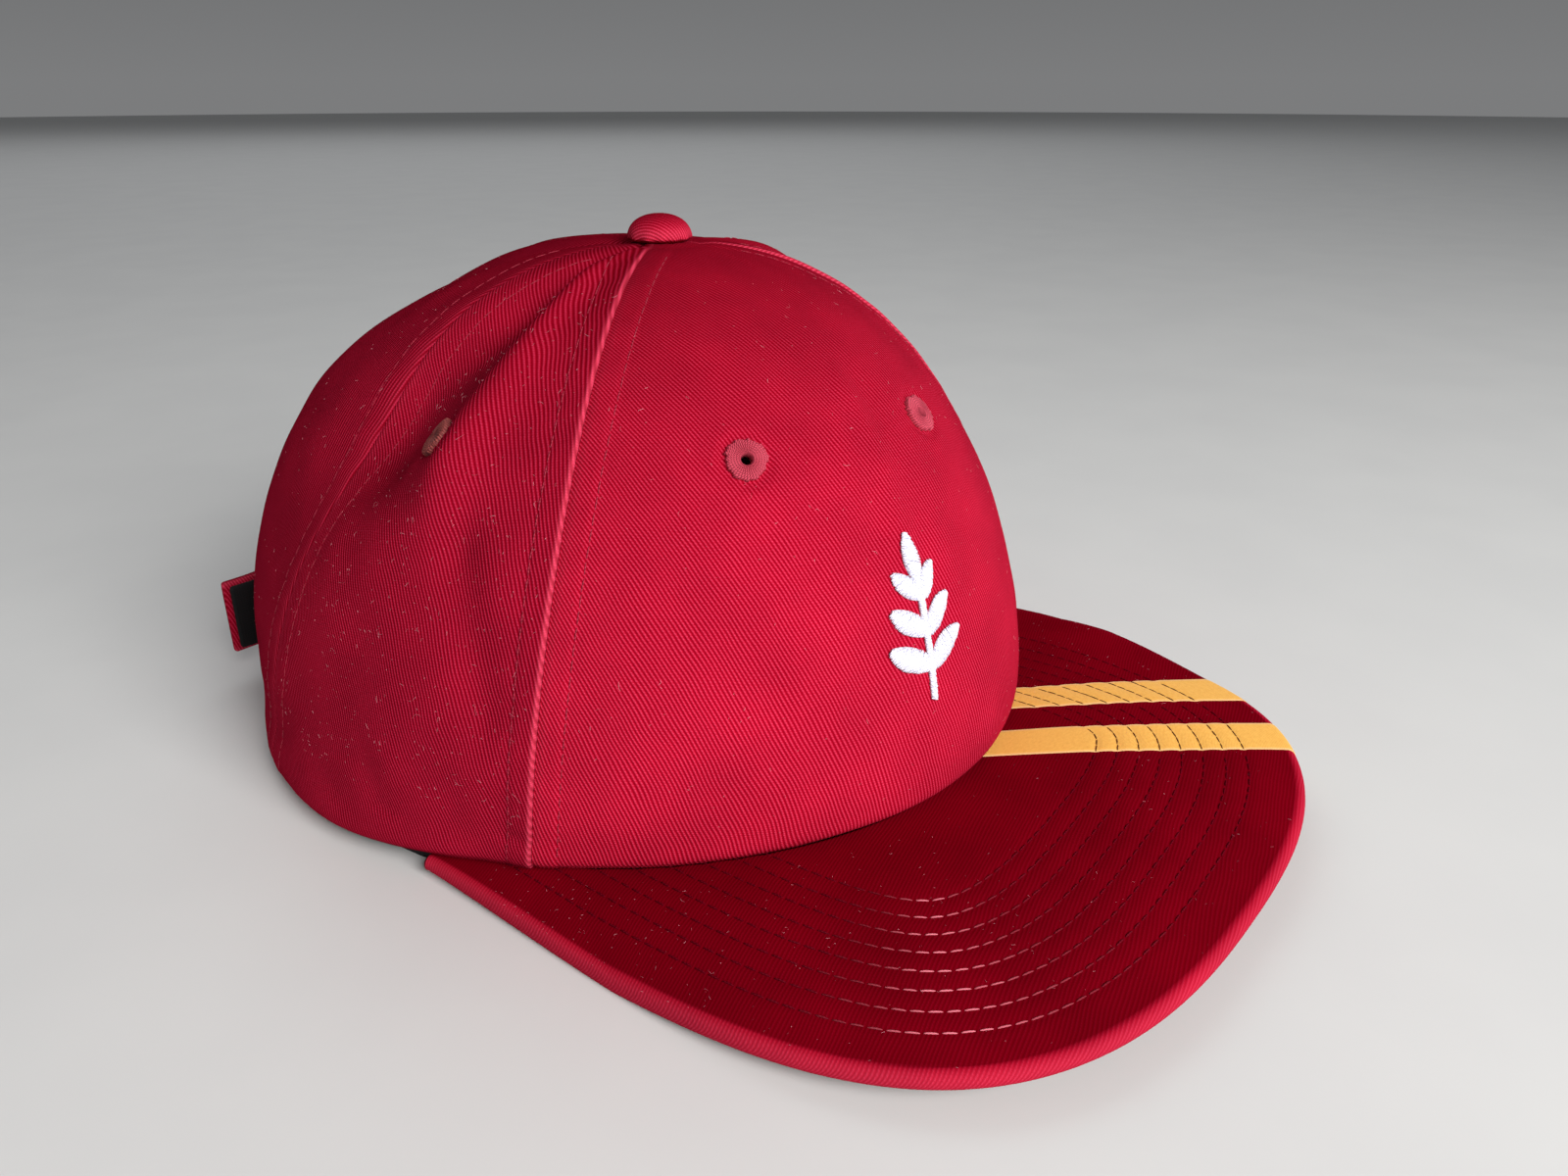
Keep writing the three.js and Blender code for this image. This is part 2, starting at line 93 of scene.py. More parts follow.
def linear(code: str) -> Colour:
    """Linear colour values of a hex colour.

    Args:
        code: Six hex digits.

    Returns:
        Red, green and blue, scene linear.
    """
    shares = [int(code[i : i + 2], 16) / 255 for i in (0, 2, 4)]
    return tuple(s / 12.92 if s <= 0.04045 else ((s + 0.055) / 1.055) ** 2.4 for s in shares)


def ripple(x: Array, y: Array, wavelength: float, seed: int, waves: int = 7) -> Array:
    """Soft uneven waves over a surface, about -1 to 1.

    Args:
        x: Places across, in millimetres.
        y: Places up, in millimetres.
        wavelength: The usual distance between two crests.
        seed: Which of the possible patterns.
        waves: How many even waves are added up.

    Returns:
        The wave's height at each place.
    """
    rng = np.random.default_rng(seed)
    total = np.zeros(np.broadcast(x, y).shape)
    for _ in range(waves):
        turn, phase = rng.uniform(0, 2 * math.pi, 2)
        rate = 2 * math.pi / (wavelength * rng.uniform(0.7, 1.6))
        total += np.sin((x * math.cos(turn) + y * math.sin(turn)) * rate + phase)
    return total / 4


def curve_through(table: Array, share: Array) -> Array:
    """A smooth curve through a table's rows.

    Args:
        table: The rows that the curve passes through.
        share: Places along it, from 0 to 1.

    Returns:
        One interpolated row for each share.
    """
    last = len(table) - 1
    place = np.clip(share, 0, 1) * last
    low = np.minimum(place.astype(int), last - 1)
    part = (place - low)[:, None]
    before, start = table[np.maximum(low - 1, 0)], table[low]
    end, after = table[low + 1], table[np.minimum(low + 2, last)]
    pull, push = (end - before) / 2, (after - start) / 2
    bend = (2 * start - 2 * end + pull + push) * part**3
    return bend + (3 * end - 3 * start - 2 * pull - push) * part**2 + pull * part + start


@dataclass(frozen=True)
class Fold:
    """A ridge of the cloth, or with a negative height a valley, between two places."""

    from_angle: float
    from_level: float
    to_angle: float
    to_level: float
    width: float
    height: float


FOLDS = (
    Fold(-72, 0.8, -75, 0.5, 7, 2.8),
    Fold(-77, 0.45, -94, 0.36, 7, 1.6),
    Fold(-87, 0.74, -94, 0.54, 13, -5.2),
    Fold(-98, 0.47, -108, 0.41, 12, -2.8),
    Fold(-69, 0.36, -62, 0.16, 4.5, -1.3),
    Fold(-60, 0.0, -59, -0.5, 4, -0.5),
    Fold(-81, 0.02, -80, -0.5, 4, -0.5),
    Fold(-76, 0.22, -90, 0.12, 13, -0.9),
    Fold(-108, -0.8, -88, -0.9, 26, 3.0),
    Fold(-150, 0.9, -157, 0.72, 18, -2.8),
    Fold(-138, 0.45, -134, 0.38, 12, 1.6),
    Fold(-2, 0.58, -5, 0.12, 3, -0.4),
    Fold(-6, 0.58, -8, 0.1, 3, 0.45),
    Fold(80, 0.78, 88, 0.35, 8, 1.6),
    Fold(140, 0.75, 150, 0.4, 12, -1.4),
)


@dataclass(frozen=True)
class CrownShape:
    """The crown's outer face."""

    front_length: float = 102.4
    back_length: float = 99
    half_width: float = 86
    widest_height: float = 21.5
    height: float = 116
    top_shift: float = -16.4
    front_round: float = 2
    side_round: float = 2.35
    back_round: float = 2.85
    top_round: float = 1.7
    tuck: float = 0.02
    rim_height: float = 1
    rim_rise: float = 10.7
    wall: float = 1.6
    top_hole: float = 4
    fold_mm_per_degree: float = 1.35
    fold_mm_per_level: float = 80

    def outline(self, angle: Array) -> Array:
        """The plan outline's radius at each angle.

        Args:
            angle: Degrees from the front.

        Returns:
            The radii in millimetres.
        """
        turn = np.radians(angle)
        length = np.where(np.cos(turn) > 0, self.front_length, self.back_length)
        return 1 / np.hypot(np.sin(turn) / self.half_width, np.cos(turn) / length)

    def roundness(self, angle: Array) -> Array:
        """How square the side profile is at each angle.

        Args:
            angle: Degrees from the front.

        Returns:
            The exponent of the profile.
        """
        forward = np.cos(np.radians(angle))
        front, back = np.maximum(forward, 0) ** 2, np.maximum(-forward, 0) ** 2
        side = 1 - front - back
        return self.front_round * front + self.back_round * back + self.side_round * side

    def rim(self, angle: Array) -> Array:
        """The rim's height at each angle."""
        forward = np.clip((np.cos(np.radians(angle)) + 0.3) / 1.3, 0, 1)
        return self.rim_height + self.rim_rise * forward**1.5

    def smooth(self, angle: Array, level: Array) -> Array:
        """Places on the crown before its folds.

        Args:
            angle: Degrees from the front.
            level: From -1 at the rim to 1 at the top.

        Returns:
            One place for each pair.
        """
        angle, level = np.broadcast_arrays(np.asarray(angle, float), np.asarray(level, float))
        turn, widest, rim = np.radians(angle), self.outline(angle), self.rim(angle)
        rise = np.clip(level, 0, 1) * math.pi / 2
        above = level > 0
        low_radius = widest * (1 - self.tuck * np.clip(-level, 0, 1) ** 2)
        high_radius = widest * np.cos(rise) ** (2 / self.roundness(angle))
        radius = np.where(above, high_radius, low_radius)
        low = rim + (self.widest_height - rim) * (1 + np.clip(level, -1, 0))
        high = np.sin(rise) ** (2 / self.top_round)
        high = self.widest_height + (self.height - self.widest_height) * high
        shift = np.where(above, self.top_shift * (1 - (radius / widest) ** 2), 0)
        height = np.where(above, high, low)
        return np.stack([np.sin(turn) * radius, -np.cos(turn) * radius + shift, height], -1)

    def normal(self, angle: Array, level: Array) -> Array:
        """The outward direction at each place of the crown.

        Args:
            angle: Degrees from the front.
            level: From -1 at the rim to 1 at the top.

        Returns:
            Directions of length 1.
        """
        low = np.clip(np.asarray(level) - 0.01, -1, 0.97)
        angle = np.asarray(angle)
        across = self.smooth(angle + 0.5, level) - self.smooth(angle - 0.5, level)
        return unit(np.cross(across, self.smooth(angle, low + 0.02) - self.smooth(angle, low)))

    def rate(self, angle: Array, level: Array) -> Array:
        """Millimetres along the crown for one degree, at each place.

        Args:
            angle: Degrees from the front.
            level: From -1 at the rim to 1 at the top.

        Returns:
            Millimetres for each degree.
        """
        angle = np.asarray(angle, float)
        across = self.smooth(angle + 0.5, level) - self.smooth(angle - 0.5, level)
        return np.linalg.norm(across, axis=-1)

    def folds(self, angle: Array, level: Array) -> Array:
        """The height of all soft folds at each place.

        Args:
            angle: Degrees from the front.
            level: From -1 at the rim to 1 at the top.

        Returns:
            Heights in millimetres.
        """
        angle = (np.asarray(angle, float) + 540) % 360 - 180
        scale = np.array([self.fold_mm_per_degree, self.fold_mm_per_level])
        here = np.stack(np.broadcast_arrays(angle * scale[0], np.asarray(level) * scale[1]), -1)
        total = np.zeros(here.shape[:-1])
        for fold in FOLDS:
            start = np.array([fold.from_angle, fold.from_level]) * scale
            along = np.array([fold.to_angle, fold.to_level]) * scale - start
            part = np.clip((here - start) @ along / (along @ along), 0, 1)
            away = np.linalg.norm(here - start - part[..., None] * along, axis=-1)
            total += fold.height * bell(away, fold.width)
        return total

    def point(self, angle: Array, level: Array, out: Array | float = 0) -> Array:
        """Places a distance out from the folded crown."""
        lift = self.folds(angle, level) + out
        return self.smooth(angle, level) + self.normal(angle, level) * lift[..., None]

    def facing(self, angle: float, level: float) -> Array:
        """The outward direction of the folded crown at one place.

        Args:
            angle: Degrees from the front.
            level: From -1 at the rim to 1 at the top.

        Returns:
            A direction of length 1.
        """
        turns, levels = np.array([-2.0, 2.0, 0, 0]) + angle, np.array([0, 0, -0.02, 0.02]) + level
        left, right, low, high = self.point(turns, levels)
        return unit(np.cross(right - left, high - low))

    def top_level(self, angle: Array) -> Array:
        """The level where the crown narrows to the hole under the button."""
        share = (self.top_hole / self.outline(angle)) ** (self.roundness(angle) / 2)
        return np.arccos(share) / (math.pi / 2)

    def level_at(self, angle: Array, height: Array) -> Array:
        """The level at each angle and height.

        Args:
            angle: Degrees from the front.
            height: Millimetres above the floor.

        Returns:
            The levels.
        """
        rim = self.rim(angle)
        low = np.clip((height - rim) / (self.widest_height - rim) - 1, -1, 0)
        share = np.clip((height - self.widest_height) / (self.height - self.widest_height), 0, 1)
        high = np.arcsin(share ** (self.top_round / 2)) / (math.pi / 2)
        return np.where(height <= self.widest_height, low, high)


CROWN = CrownShape()


# Mesh helpers


def deselect() -> None:
    """Leave nothing selected."""
    bpy.ops.object.select_all(action="DESELECT")


def select_only(obj: bpy.types.Object) -> None:
    """Make an object the active one and the only one selected.

    Args:
        obj: The object.
    """
    deselect()
    obj.select_set(True)
    bpy.context.view_layer.objects.active = obj


def get_places(obj: bpy.types.Object) -> Array:
    """Read an object's vertices.

    Args:
        obj: The mesh object.

    Returns:
        One place for each vertex, in metres.
    """
    places = np.zeros(len(obj.data.vertices) * 3)
    obj.data.vertices.foreach_get("co", places)
    return places.reshape(-1, 3)


def set_points(obj: bpy.types.Object, points: Array) -> None:
    """Place an object's vertices.

    Args:
        obj: The mesh object.
        points: One place for each vertex, in millimetres round the crown's axis.
    """
    places = (points.reshape(-1, 3) + AXIS) * MM
    obj.data.vertices.foreach_set("co", places.astype(np.float32).ravel())
    obj.data.update()


def set_weave(obj: bpy.types.Object, places: Array) -> None:
    """Give a mesh its weave map.

    Args:
        obj: The mesh object.
        places: Where each vertex lies on the flat cloth, in millimetres.
    """
    layers = obj.data.uv_layers
    layer = layers[0] if layers else layers.new(name=WEAVE)
    layer.name = WEAVE
    corner = np.zeros(len(obj.data.loops), np.int32)
    obj.data.loops.foreach_get("vertex_index", corner)
    layer.data.foreach_set("uv", places.reshape(-1, 2)[corner].astype(np.float32).ravel())


def set_wear_and_highlight(obj: bpy.types.Object, shares: Array) -> None:
    """Give each vertex its share of the lit, worn colour."""
    layer = obj.data.attributes.new(WEAR_AND_HIGHLIGHT, "FLOAT", "POINT")
    layer.data.foreach_set("value", shares.ravel().astype(np.float32))


def apply_all(obj: bpy.types.Object) -> None:
    """Apply an object's modifiers in order.

    Args:
        obj: The mesh object.
    """
    select_only(obj)
    for modifier in list(obj.modifiers):
        bpy.ops.object.modifier_apply(modifier=modifier.name)


def edit(obj: bpy.types.Object, *steps: Callable[[], object]) -> None:
    """Run edit-mode steps on a whole mesh.

    Args:
        obj: The mesh object.
        steps: Operators to call in turn, with all of the mesh selected.
    """
    select_only(obj)
    bpy.ops.object.mode_set(mode="EDIT")
    bpy.ops.mesh.select_all(action="SELECT")
    for step in steps:
        step()
    bpy.ops.object.mode_set(mode="OBJECT")


def add_grid(name: str, rows: int, columns: int) -> bpy.types.Object:
    """Add a flat grid to be laid over a surface, its vertices row by row.

    Args:
        name: The object's name.
        rows: Its vertices one way.
        columns: Its vertices the other way.

    Returns:
        The new grid.
    """
    deselect()
    bpy.ops.mesh.primitive_grid_add(x_subdivisions=columns - 1, y_subdivisions=rows - 1, size=1)
    obj = bpy.context.active_object
    obj.name = obj.data.name = name
    return obj


def cloth_body(
    name: str, outer: Array, inner: Array, weave: Array, wear: Array | None = None
) -> bpy.types.Object:
    """Make a closed piece of cloth between two faces.

    Args:
        name: The piece's name.
        outer: Rows and columns of places on the outer face.
        inner: The same on the inner face.
        weave: Where each lies on the flat cloth.
        wear: How lit and worn each place is.

    Returns:
        The finished mesh object.
    """
    rows, columns = outer.shape[:2]
    obj = add_grid(name, rows, columns)
    modifier = obj.modifiers.new("Thickness", "SOLIDIFY")
    modifier.thickness = 0.01
    modifier.offset = -1
    apply_all(obj)
    set_points(obj, np.concatenate([outer.reshape(-1, 3), inner.reshape(-1, 3)]))
    flat = weave.reshape(-1, 2)
    set_weave(obj, np.concatenate([flat, flat]))
    shares = np.zeros(rows * columns) if wear is None else wear.ravel()
    set_wear_and_highlight(obj, np.concatenate([shares, shares * 0]))
    return obj


def ring_body(
    name: str, rings: Array, weave: Array, wear: Array | None = None
) -> bpy.types.Object:
    """Make a closed piece from closed rings side by side.

    Args:
        name: The piece's name.
        rings: Rings along the piece, each a loop of places.
        weave: Where each lies on the flat cloth.
        wear: How lit and worn each place is.

    Returns:
        The finished mesh object.
    """
    count = rings.shape[1]
    around = np.concatenate([rings, rings[:, :1]], 1)
    seam = weave[:, :1] + (weave[:, -1:] - weave[:, -2:-1])
    obj = add_grid(name, rings.shape[0], count + 1)
    set_points(obj, around)
    set_weave(obj, np.concatenate([weave, seam], 1))
    shares = np.zeros(rings.shape[:2]) if wear is None else wear
    set_wear_and_highlight(obj, np.concatenate([shares, shares[:, :1]], 1))
    edit(
        obj,
        lambda: bpy.ops.mesh.remove_doubles(threshold=1e-6),
        lambda: bpy.ops.mesh.fill_holes(sides=count + 2),
        lambda: bpy.ops.mesh.normals_make_consistent(inside=False),
    )
    return obj


def thread_template() -> tuple[Array, list[tuple[int, ...]]]:
    """Model one stitch, lying along X, 1 long and 1 wide.

    Returns:
        Its vertices and its faces.
    """
    deselect()
    bpy.ops.mesh.primitive_uv_sphere_add(segments=6, ring_count=8, radius=0.5)
    obj = bpy.context.active_object
    points = np.array([v.co for v in obj.data.vertices])
    along = points[:, 2] * 2
    radius = np.hypot(points[:, 0], points[:, 1])
    swell = 0.5 * (1 - np.abs(along) ** 3.2) ** 0.5 / np.maximum(radius, 1e-6)
    shaped = np.stack([along / 2, points[:, 0] * swell, points[:, 1] * swell], -1)
    faces = [tuple(reversed(p.vertices)) for p in obj.data.polygons]
    bpy.data.objects.remove(obj)
    return shaped, faces


THREAD_POINTS, THREAD_FACES = thread_template()


def lay_threads(
    name: str,
    middle: Array,
    along: Array,
    up: Array,
    length: Array | float,
    width: Array | float,
    arch: Array | float = 0.0,
    bend: Array | float = 0.0,
    flat: float = 0.8,
) -> bpy.types.Object:
    """Copy the stitch to many places in one mesh.

    Args:
        name: The mesh's name.
        middle: The middle of each thread.
        along: The direction that each runs in.
        up: The direction that each faces.
        length: Each thread's length.
        width: Each thread's width.
        arch: How far each rises in its middle.
        bend: How far each bows sideways.
        flat: The threads' height as a share of their width.

    Returns:
        The finished mesh object.
    """
    count = len(middle)
    across = unit(np.cross(up, along))
    face = unit(np.cross(along, across))
    length, width, arch, bend = (
        np.broadcast_to(np.asarray(size, float), count)[:, None] for size in (length, width, arch, bend)
    )
    x, y, z = THREAD_POINTS.T
    crest = 1 - (2 * x) ** 2
    parts = (x * length, y * width + bend * crest, z * width * flat + arch * crest)
    ways = (unit(along), across, face)
    points = middle[:, None, :] + sum(
        part[..., None] * way[:, None, :] for part, way in zip(parts, ways)
    )
    faces = np.array([f for f in THREAD_FACES if len(f) == 4])
    tips = np.array([f for f in THREAD_FACES if len(f) == 3])
    step = (np.arange(count) * len(THREAD_POINTS))[:, None, None]
    mesh = bpy.data.meshes.new(name)
    loops = (faces + step).reshape(-1, 4).tolist() + (tips + step).reshape(-1, 3).tolist()
    mesh.from_pydata(((points.reshape(-1, 3) + AXIS) * MM).tolist(), [], loops)
    obj = bpy.data.objects.new(name, mesh)
    bpy.context.scene.collection.objects.link(obj)
    turn = np.arctan2(z, y) / (2 * math.pi)
    starts = np.arange(count)[:, None] * 1.7
    set_weave(obj, np.stack([x * length + starts, np.broadcast_to(turn, (count, len(turn)))], -1))
    mesh.polygons.foreach_set("use_smooth", np.ones(len(mesh.polygons), bool))
    return obj


def stitches_along(
    name: str, paths: Sequence[Row], pitch: float, length: float, width: float, seed: int
) -> bpy.types.Object:
    """Sew rows of stitches.

    Args:
        name: The mesh's name.
        paths: For each row its places and the outward direction at each.
        pitch: From one stitch to the next.
        length: Each stitch's length.
        width: The thread's width.
        seed: Which of the possible unevennesses.

    Returns:
        All rows as one mesh.
    """
    rng = np.random.default_rng(seed)
    middles, alongs, ups = [], [], []
    for points, normals in paths:
        run = run_along(points)
        if run[-1] < pitch:
            continue
        at = np.arange(pitch / 2, run[-1] - pitch / 2 + 1e-6, pitch)
        place = lambda s, of: np.stack([np.interp(s, run, of[:, k]) for k in range(3)], -1)
        start, end = place(at - length / 2, points), place(at + length / 2, points)
        normal = unit(place(at, normals))
        middles.append((start + end) / 2 + normal * rng.normal(0, 0.02, (len(at), 1)))
        alongs.append(end - start + rng.normal(0, 0.05, (len(at), 3)))
        ups.append(normal)
    middle, along, up = np.concatenate(middles), np.concatenate(alongs), np.concatenate(ups)
    sizes = length * rng.uniform(0.92, 1.04, len(middle))
    return lay_threads(name, middle, along, up, sizes, width, arch=width * 0.25)


def set_painted_shade(obj: bpy.types.Object) -> None:
    """Store painted shade by how level the cloth lies: the more level, the darker it is painted.

    Args:
        obj: The mesh object.
    """
    normals = np.zeros(len(obj.data.vertices) * 3, np.float32)
    obj.data.vertex_normals.foreach_get("vector", normals)
    layer = obj.data.attributes.new(PAINTED_SHADE, "FLOAT", "POINT")
    layer.data.foreach_set("value", np.abs(normals[2::3]))


class Shading(Enum):
    """How a piece's faces meet."""

    SMOOTH = 180
    CREASED = 40


def dress(
    obj: bpy.types.Object, material: bpy.types.Material, slot: str, shading: Shading, *nodes: str
) -> None:
    """Give a piece its finish and its place in the frame.

    Args:
        obj: The finished piece.
        material: Its material.
        slot: Not used.
        shading: How its faces meet.
        nodes: The solids that it stands for.
    """
    obj.data.materials.clear()
    obj.data.materials.append(material)
    select_only(obj)
    bpy.ops.object.shade_smooth_by_angle(angle=math.radians(shading.value))
    # Painted shade by how level the cloth lies.
    set_painted_shade(obj)
    if nodes:
        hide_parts(*nodes)
    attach(obj, "root")
    log.info("%s: %d faces, %s", obj.name, len(obj.data.polygons), material.name)


# Finishes


class Graph:
    """A material's nodes, with short ways to add and join them."""

    def __init__(self, name: str) -> None:
        """Start an empty material.

        Args:
            name: The material's name.
        """
        self.material = bpy.data.materials.new(name)
        self.material.use_nodes = True
        self.tree = self.material.node_tree
        self.shader = self.tree.nodes["Principled BSDF"]

    def node(self, kind: str, inputs: dict[str | int, object], **settings: object) -> bpy.types.Node:
        """Add a node.

        Args:
            kind: The node's type.
            inputs: A value or another node's output for each input.
            settings: The node's own settings.

        Returns:
            The new node.
        """
        made = self.tree.nodes.new(kind)
        for key, value in settings.items():
            setattr(made, key, value)
        for key, value in inputs.items():
            self.feed(made.inputs[key], value)
        return made

    def feed(self, socket: bpy.types.NodeSocket, value: object) -> None:
        """Join a socket to an output, or set its value.

        Args:
            socket: The input to set.
            value: A value, or another node's output.
        """
        if isinstance(value, bpy.types.NodeSocket):
            self.tree.links.new(value, socket)
        else:
            socket.default_value = value

    def weave_map(self) -> bpy.types.NodeSocket:
        """Where each place lies on the flat cloth."""
        return self.node("ShaderNodeUVMap", {}, uv_map=WEAVE).outputs[0]

    def stored(self, name: str) -> bpy.types.NodeSocket:
        """The share that the mesh stores under a name."""
        return self.node("ShaderNodeAttribute", {}, attribute_name=name).outputs["Fac"]

    def math(self, operation: str, *values: object) -> bpy.types.NodeSocket:
        """The result of a sum on numbers."""
        return self.node("ShaderNodeMath", dict(enumerate(values)), operation=operation).outputs[0]

    def noise(self, place: bpy.types.NodeSocket, scale: float, detail: float = 2) -> bpy.types.NodeSocket:
        """Uneven values from 0 to 1 over a place."""
        inputs = {"Vector": place, "Scale": scale, "Detail": detail}
        return self.node("ShaderNodeTexNoise", inputs).outputs[0]

    def wave(self, place: bpy.types.NodeSocket, turn: float, pitch: float) -> bpy.types.NodeSocket:
        """Even bands across a place.

        Args:
            place: Where on the cloth.
            turn: Degrees from its width to the direction across the bands.
            pitch: From one band to the next.

        Returns:
            Values from 0 to 1.
        """
        rate = 2 * math.pi / pitch
        across = (math.cos(math.radians(turn)) * rate, math.sin(math.radians(turn)) * rate, 0)
        dot = self.node("ShaderNodeVectorMath", {0: place, 1: across}, operation="DOT_PRODUCT")
        return self.math("MULTIPLY_ADD", self.math("SINE", dot.outputs["Value"]), 0.5, 0.5)

    def mix(self, share: object, low: object, high: object, blend: str = "MIX") -> bpy.types.NodeSocket:
        """A mix of two colours.

        Args:
            share: How much of the second colour, from 0 to 1.
            low: The first colour.
            high: The second colour.
            blend: How the two are blended.

        Returns:
            The mixed colour.
        """
        made = self.node("ShaderNodeMix", {}, data_type="RGBA", blend_type=blend)
        self.feed(made.inputs[0], share)
        for index, value in ((6, low), (7, high)):
            self.feed(made.inputs[index], (*value, 1) if isinstance(value, tuple) else value)
        return made.outputs[2]

    def ramp(
        self, share: bpy.types.NodeSocket, stops: Sequence[tuple[float, Colour]]
    ) -> bpy.types.NodeSocket:
        """A colour for each share.

        Args:
            share: Values from 0 to 1.
            stops: Places on the ramp and their colours.

        Returns:
            The ramp's colour.
        """
        made = self.node("ShaderNodeValToRGB", {0: share})
        elements = made.color_ramp.elements
        for index, (at, colour) in enumerate(stops):
            element = elements[index] if index < 2 else elements.new(at)
            element.position = at
            element.color = (*colour, 1)
        return made.outputs[0]

    def bump(self, height: bpy.types.NodeSocket, distance: float, strength: float) -> None:
        """Raise the surface by a height, its full distance in millimetres."""
        inputs = {"Height": height, "Distance": distance * MM, "Strength": strength}
        self.feed(self.shader.inputs["Normal"], self.node("ShaderNodeBump", inputs).outputs[0])

    def shade(self, **values: object) -> bpy.types.Material:
        """Set the shader's own sockets.

        Args:
            values: A value or output for each socket, its name in lower case.

        Returns:
            The finished material.
        """
        for socket in self.shader.inputs:
            key = socket.name.lower().replace(" ", "_")
            if key in values:
                self.feed(socket, values[key])
        return self.material


@dataclass(frozen=True)
class Twill:
    """Cotton twill: fine diagonal ribs, each a row of small beads."""

    name: str
    groove: Colour
    body: Colour
    crest: Colour
    # Colour of worn edges and of painted highlights.
    worn_and_lit: Colour
    turn: float
    pitch: float = 0.78
    bead: float = 0.52
    bead_turn: float = 62
    relief: float = 0.13
    depth: float = 0.72
    sheen: float = 0.02
    gloss: float = 0.0
    # The painted shade's tint, multiplied in where the cloth lies level.
    shade_tint: Colour = (0.5, 0.24, 0.34)

    def material(self) -> bpy.types.Material:
        """Build the material on the piece's weave map.

        Returns:
            The finished material.
        """
        graph = Graph(self.name)
        flat = graph.weave_map()
        drift = graph.node("ShaderNodeTexNoise", {"Vector": flat, "Scale": 0.07, "Detail": 1})
        pull = {0: drift.outputs["Color"], 1: (1.6, 1.6, 0), 2: flat}
        drawn = graph.node("ShaderNodeVectorMath", pull, operation="MULTIPLY_ADD").outputs[0]
        rib = graph.wave(drawn, self.turn, self.pitch)
        bead = graph.wave(drawn, self.turn + self.bead_turn, self.bead)
        fibre = graph.noise(flat, 2.4, 3)
        beaded = graph.math("MULTIPLY", rib, graph.math("MULTIPLY_ADD", bead, 0.32, 0.68))
        height = graph.math("MULTIPLY_ADD", graph.math("SUBTRACT", fibre, 0.5), 0.55, beaded)
        spread = graph.math("MULTIPLY_ADD", graph.math("SUBTRACT", height, 0.42), self.depth, 0.45)
        cloth = graph.ramp(spread, ((0.0, self.groove), (0.46, self.body), (1.0, self.crest)))
        shades = ((0.3, (0.84, 0.84, 0.84)), (0.7, (1.06, 1.04, 1.04)))
        clouded = graph.mix(1.0, cloth, graph.ramp(graph.noise(flat, 0.055, 3), shades), "MULTIPLY")
        # The paler colour: wear, and a painted highlight on seam ridges and the peak's rim.
        worn_and_lit = graph.stored(WEAR_AND_HIGHLIGHT)
        patchy = graph.math("MULTIPLY", worn_and_lit, graph.math("MULTIPLY_ADD", beaded, 0.6, 0.5))
        colour = graph.mix(patchy, clouded, self.worn_and_lit)
        # Painted shade: level cloth is darkened toward the shade tint.
        painted_shade = graph.stored(PAINTED_SHADE)
        shade_tint = graph.mix(graph.math("POWER", painted_shade, 2.2), (1.0, 1.0, 1.0), self.shade_tint)
        colour = graph.mix(1.0, colour, shade_tint, "MULTIPLY")
        graph.bump(height, self.relief, 0.85)
        rough = graph.math("MULTIPLY_ADD", height, -0.12, 0.95)
        return graph.shade(
            base_color=colour,
            roughness=rough,
            specular_ior_level=self.gloss,
            sheen_weight=self.sheen,
            sheen_roughness=0.5,
            sheen_tint=(*self.crest, 1),
        )


@dataclass(frozen=True)
class Thread:
    """Sewing or embroidery thread, a soft twist of two shades."""

    name: str
    dark: Colour
    light: Colour
    rough: float = 0.6
    twist: float = 0.7
    gloss: float = 0.15
    lit: Colour | None = None

    def material(self) -> bpy.types.Material:
        """Build the material along each thread.

        Returns:
            The finished material.
        """
        graph = Graph(self.name)
        flat = graph.weave_map()
        scaled = {0: flat, 1: (1 / self.twist, 1, 0)}
        ply = graph.node("ShaderNodeVectorMath", scaled, operation="MULTIPLY").outputs[0]
        turned = graph.wave(ply, 45, math.sqrt(0.5))
        hair = graph.noise(flat, 3.1, 3)
        height = graph.math("MULTIPLY_ADD", hair, 0.4, turned)
        colour = graph.ramp(height, ((0.15, self.dark), (0.95, self.light)))
        if self.lit:
            # Painted highlight: the thread is mixed toward the lit colour by its stored share.
            shine = graph.stored(WEAR_AND_HIGHLIGHT)
            tinted = tuple(part**1.5 for part in self.lit)
            colour = graph.mix(shine, colour, graph.mix(shine, tinted, self.lit))
        graph.bump(height, 0.05, 0.6)
        rough = graph.math("MULTIPLY_ADD", hair, 0.2, self.rough - 0.1)
        return graph.shade(base_color=colour, roughness=rough, specular_ior_level=self.gloss)


@dataclass(frozen=True)
class PlainCloth:
    """A plain close cloth with a faint square weave and small flecks."""

    name: str
    dark: Colour
    light: Colour
    worn_and_lit: Colour
    pitch: float = 0.42
    relief: float = 0.05
    sheen: float = 0.1
    gloss: float = 0.25

    def material(self) -> bpy.types.Material:
        """Build the material on the piece's weave map.

        Returns:
            The finished material.
        """
        graph = Graph(self.name)
        flat = graph.weave_map()
        warp, weft = graph.wave(flat, 0, self.pitch), graph.wave(flat, 90, self.pitch)
        weave = graph.math("MULTIPLY", warp, weft)
        fleck = graph.noise(flat, 0.9, 4)
        height = graph.math("MULTIPLY_ADD", fleck, 0.8, weave)
        colour = graph.ramp(height, ((0.25, self.dark), (0.8, self.light)))
        # The paler colour: a painted highlight at the bands' edges, wear on the other cloths.
        worn_and_lit = graph.stored(WEAR_AND_HIGHLIGHT)
        colour = graph.mix(worn_and_lit, colour, self.worn_and_lit)
        graph.bump(height, self.relief, 0.7)
        rough = graph.math("MULTIPLY_ADD", fleck, 0.2, 0.7)
        return graph.shade(
            base_color=colour, roughness=rough, specular_ior_level=self.gloss, sheen_weight=self.sheen
        )


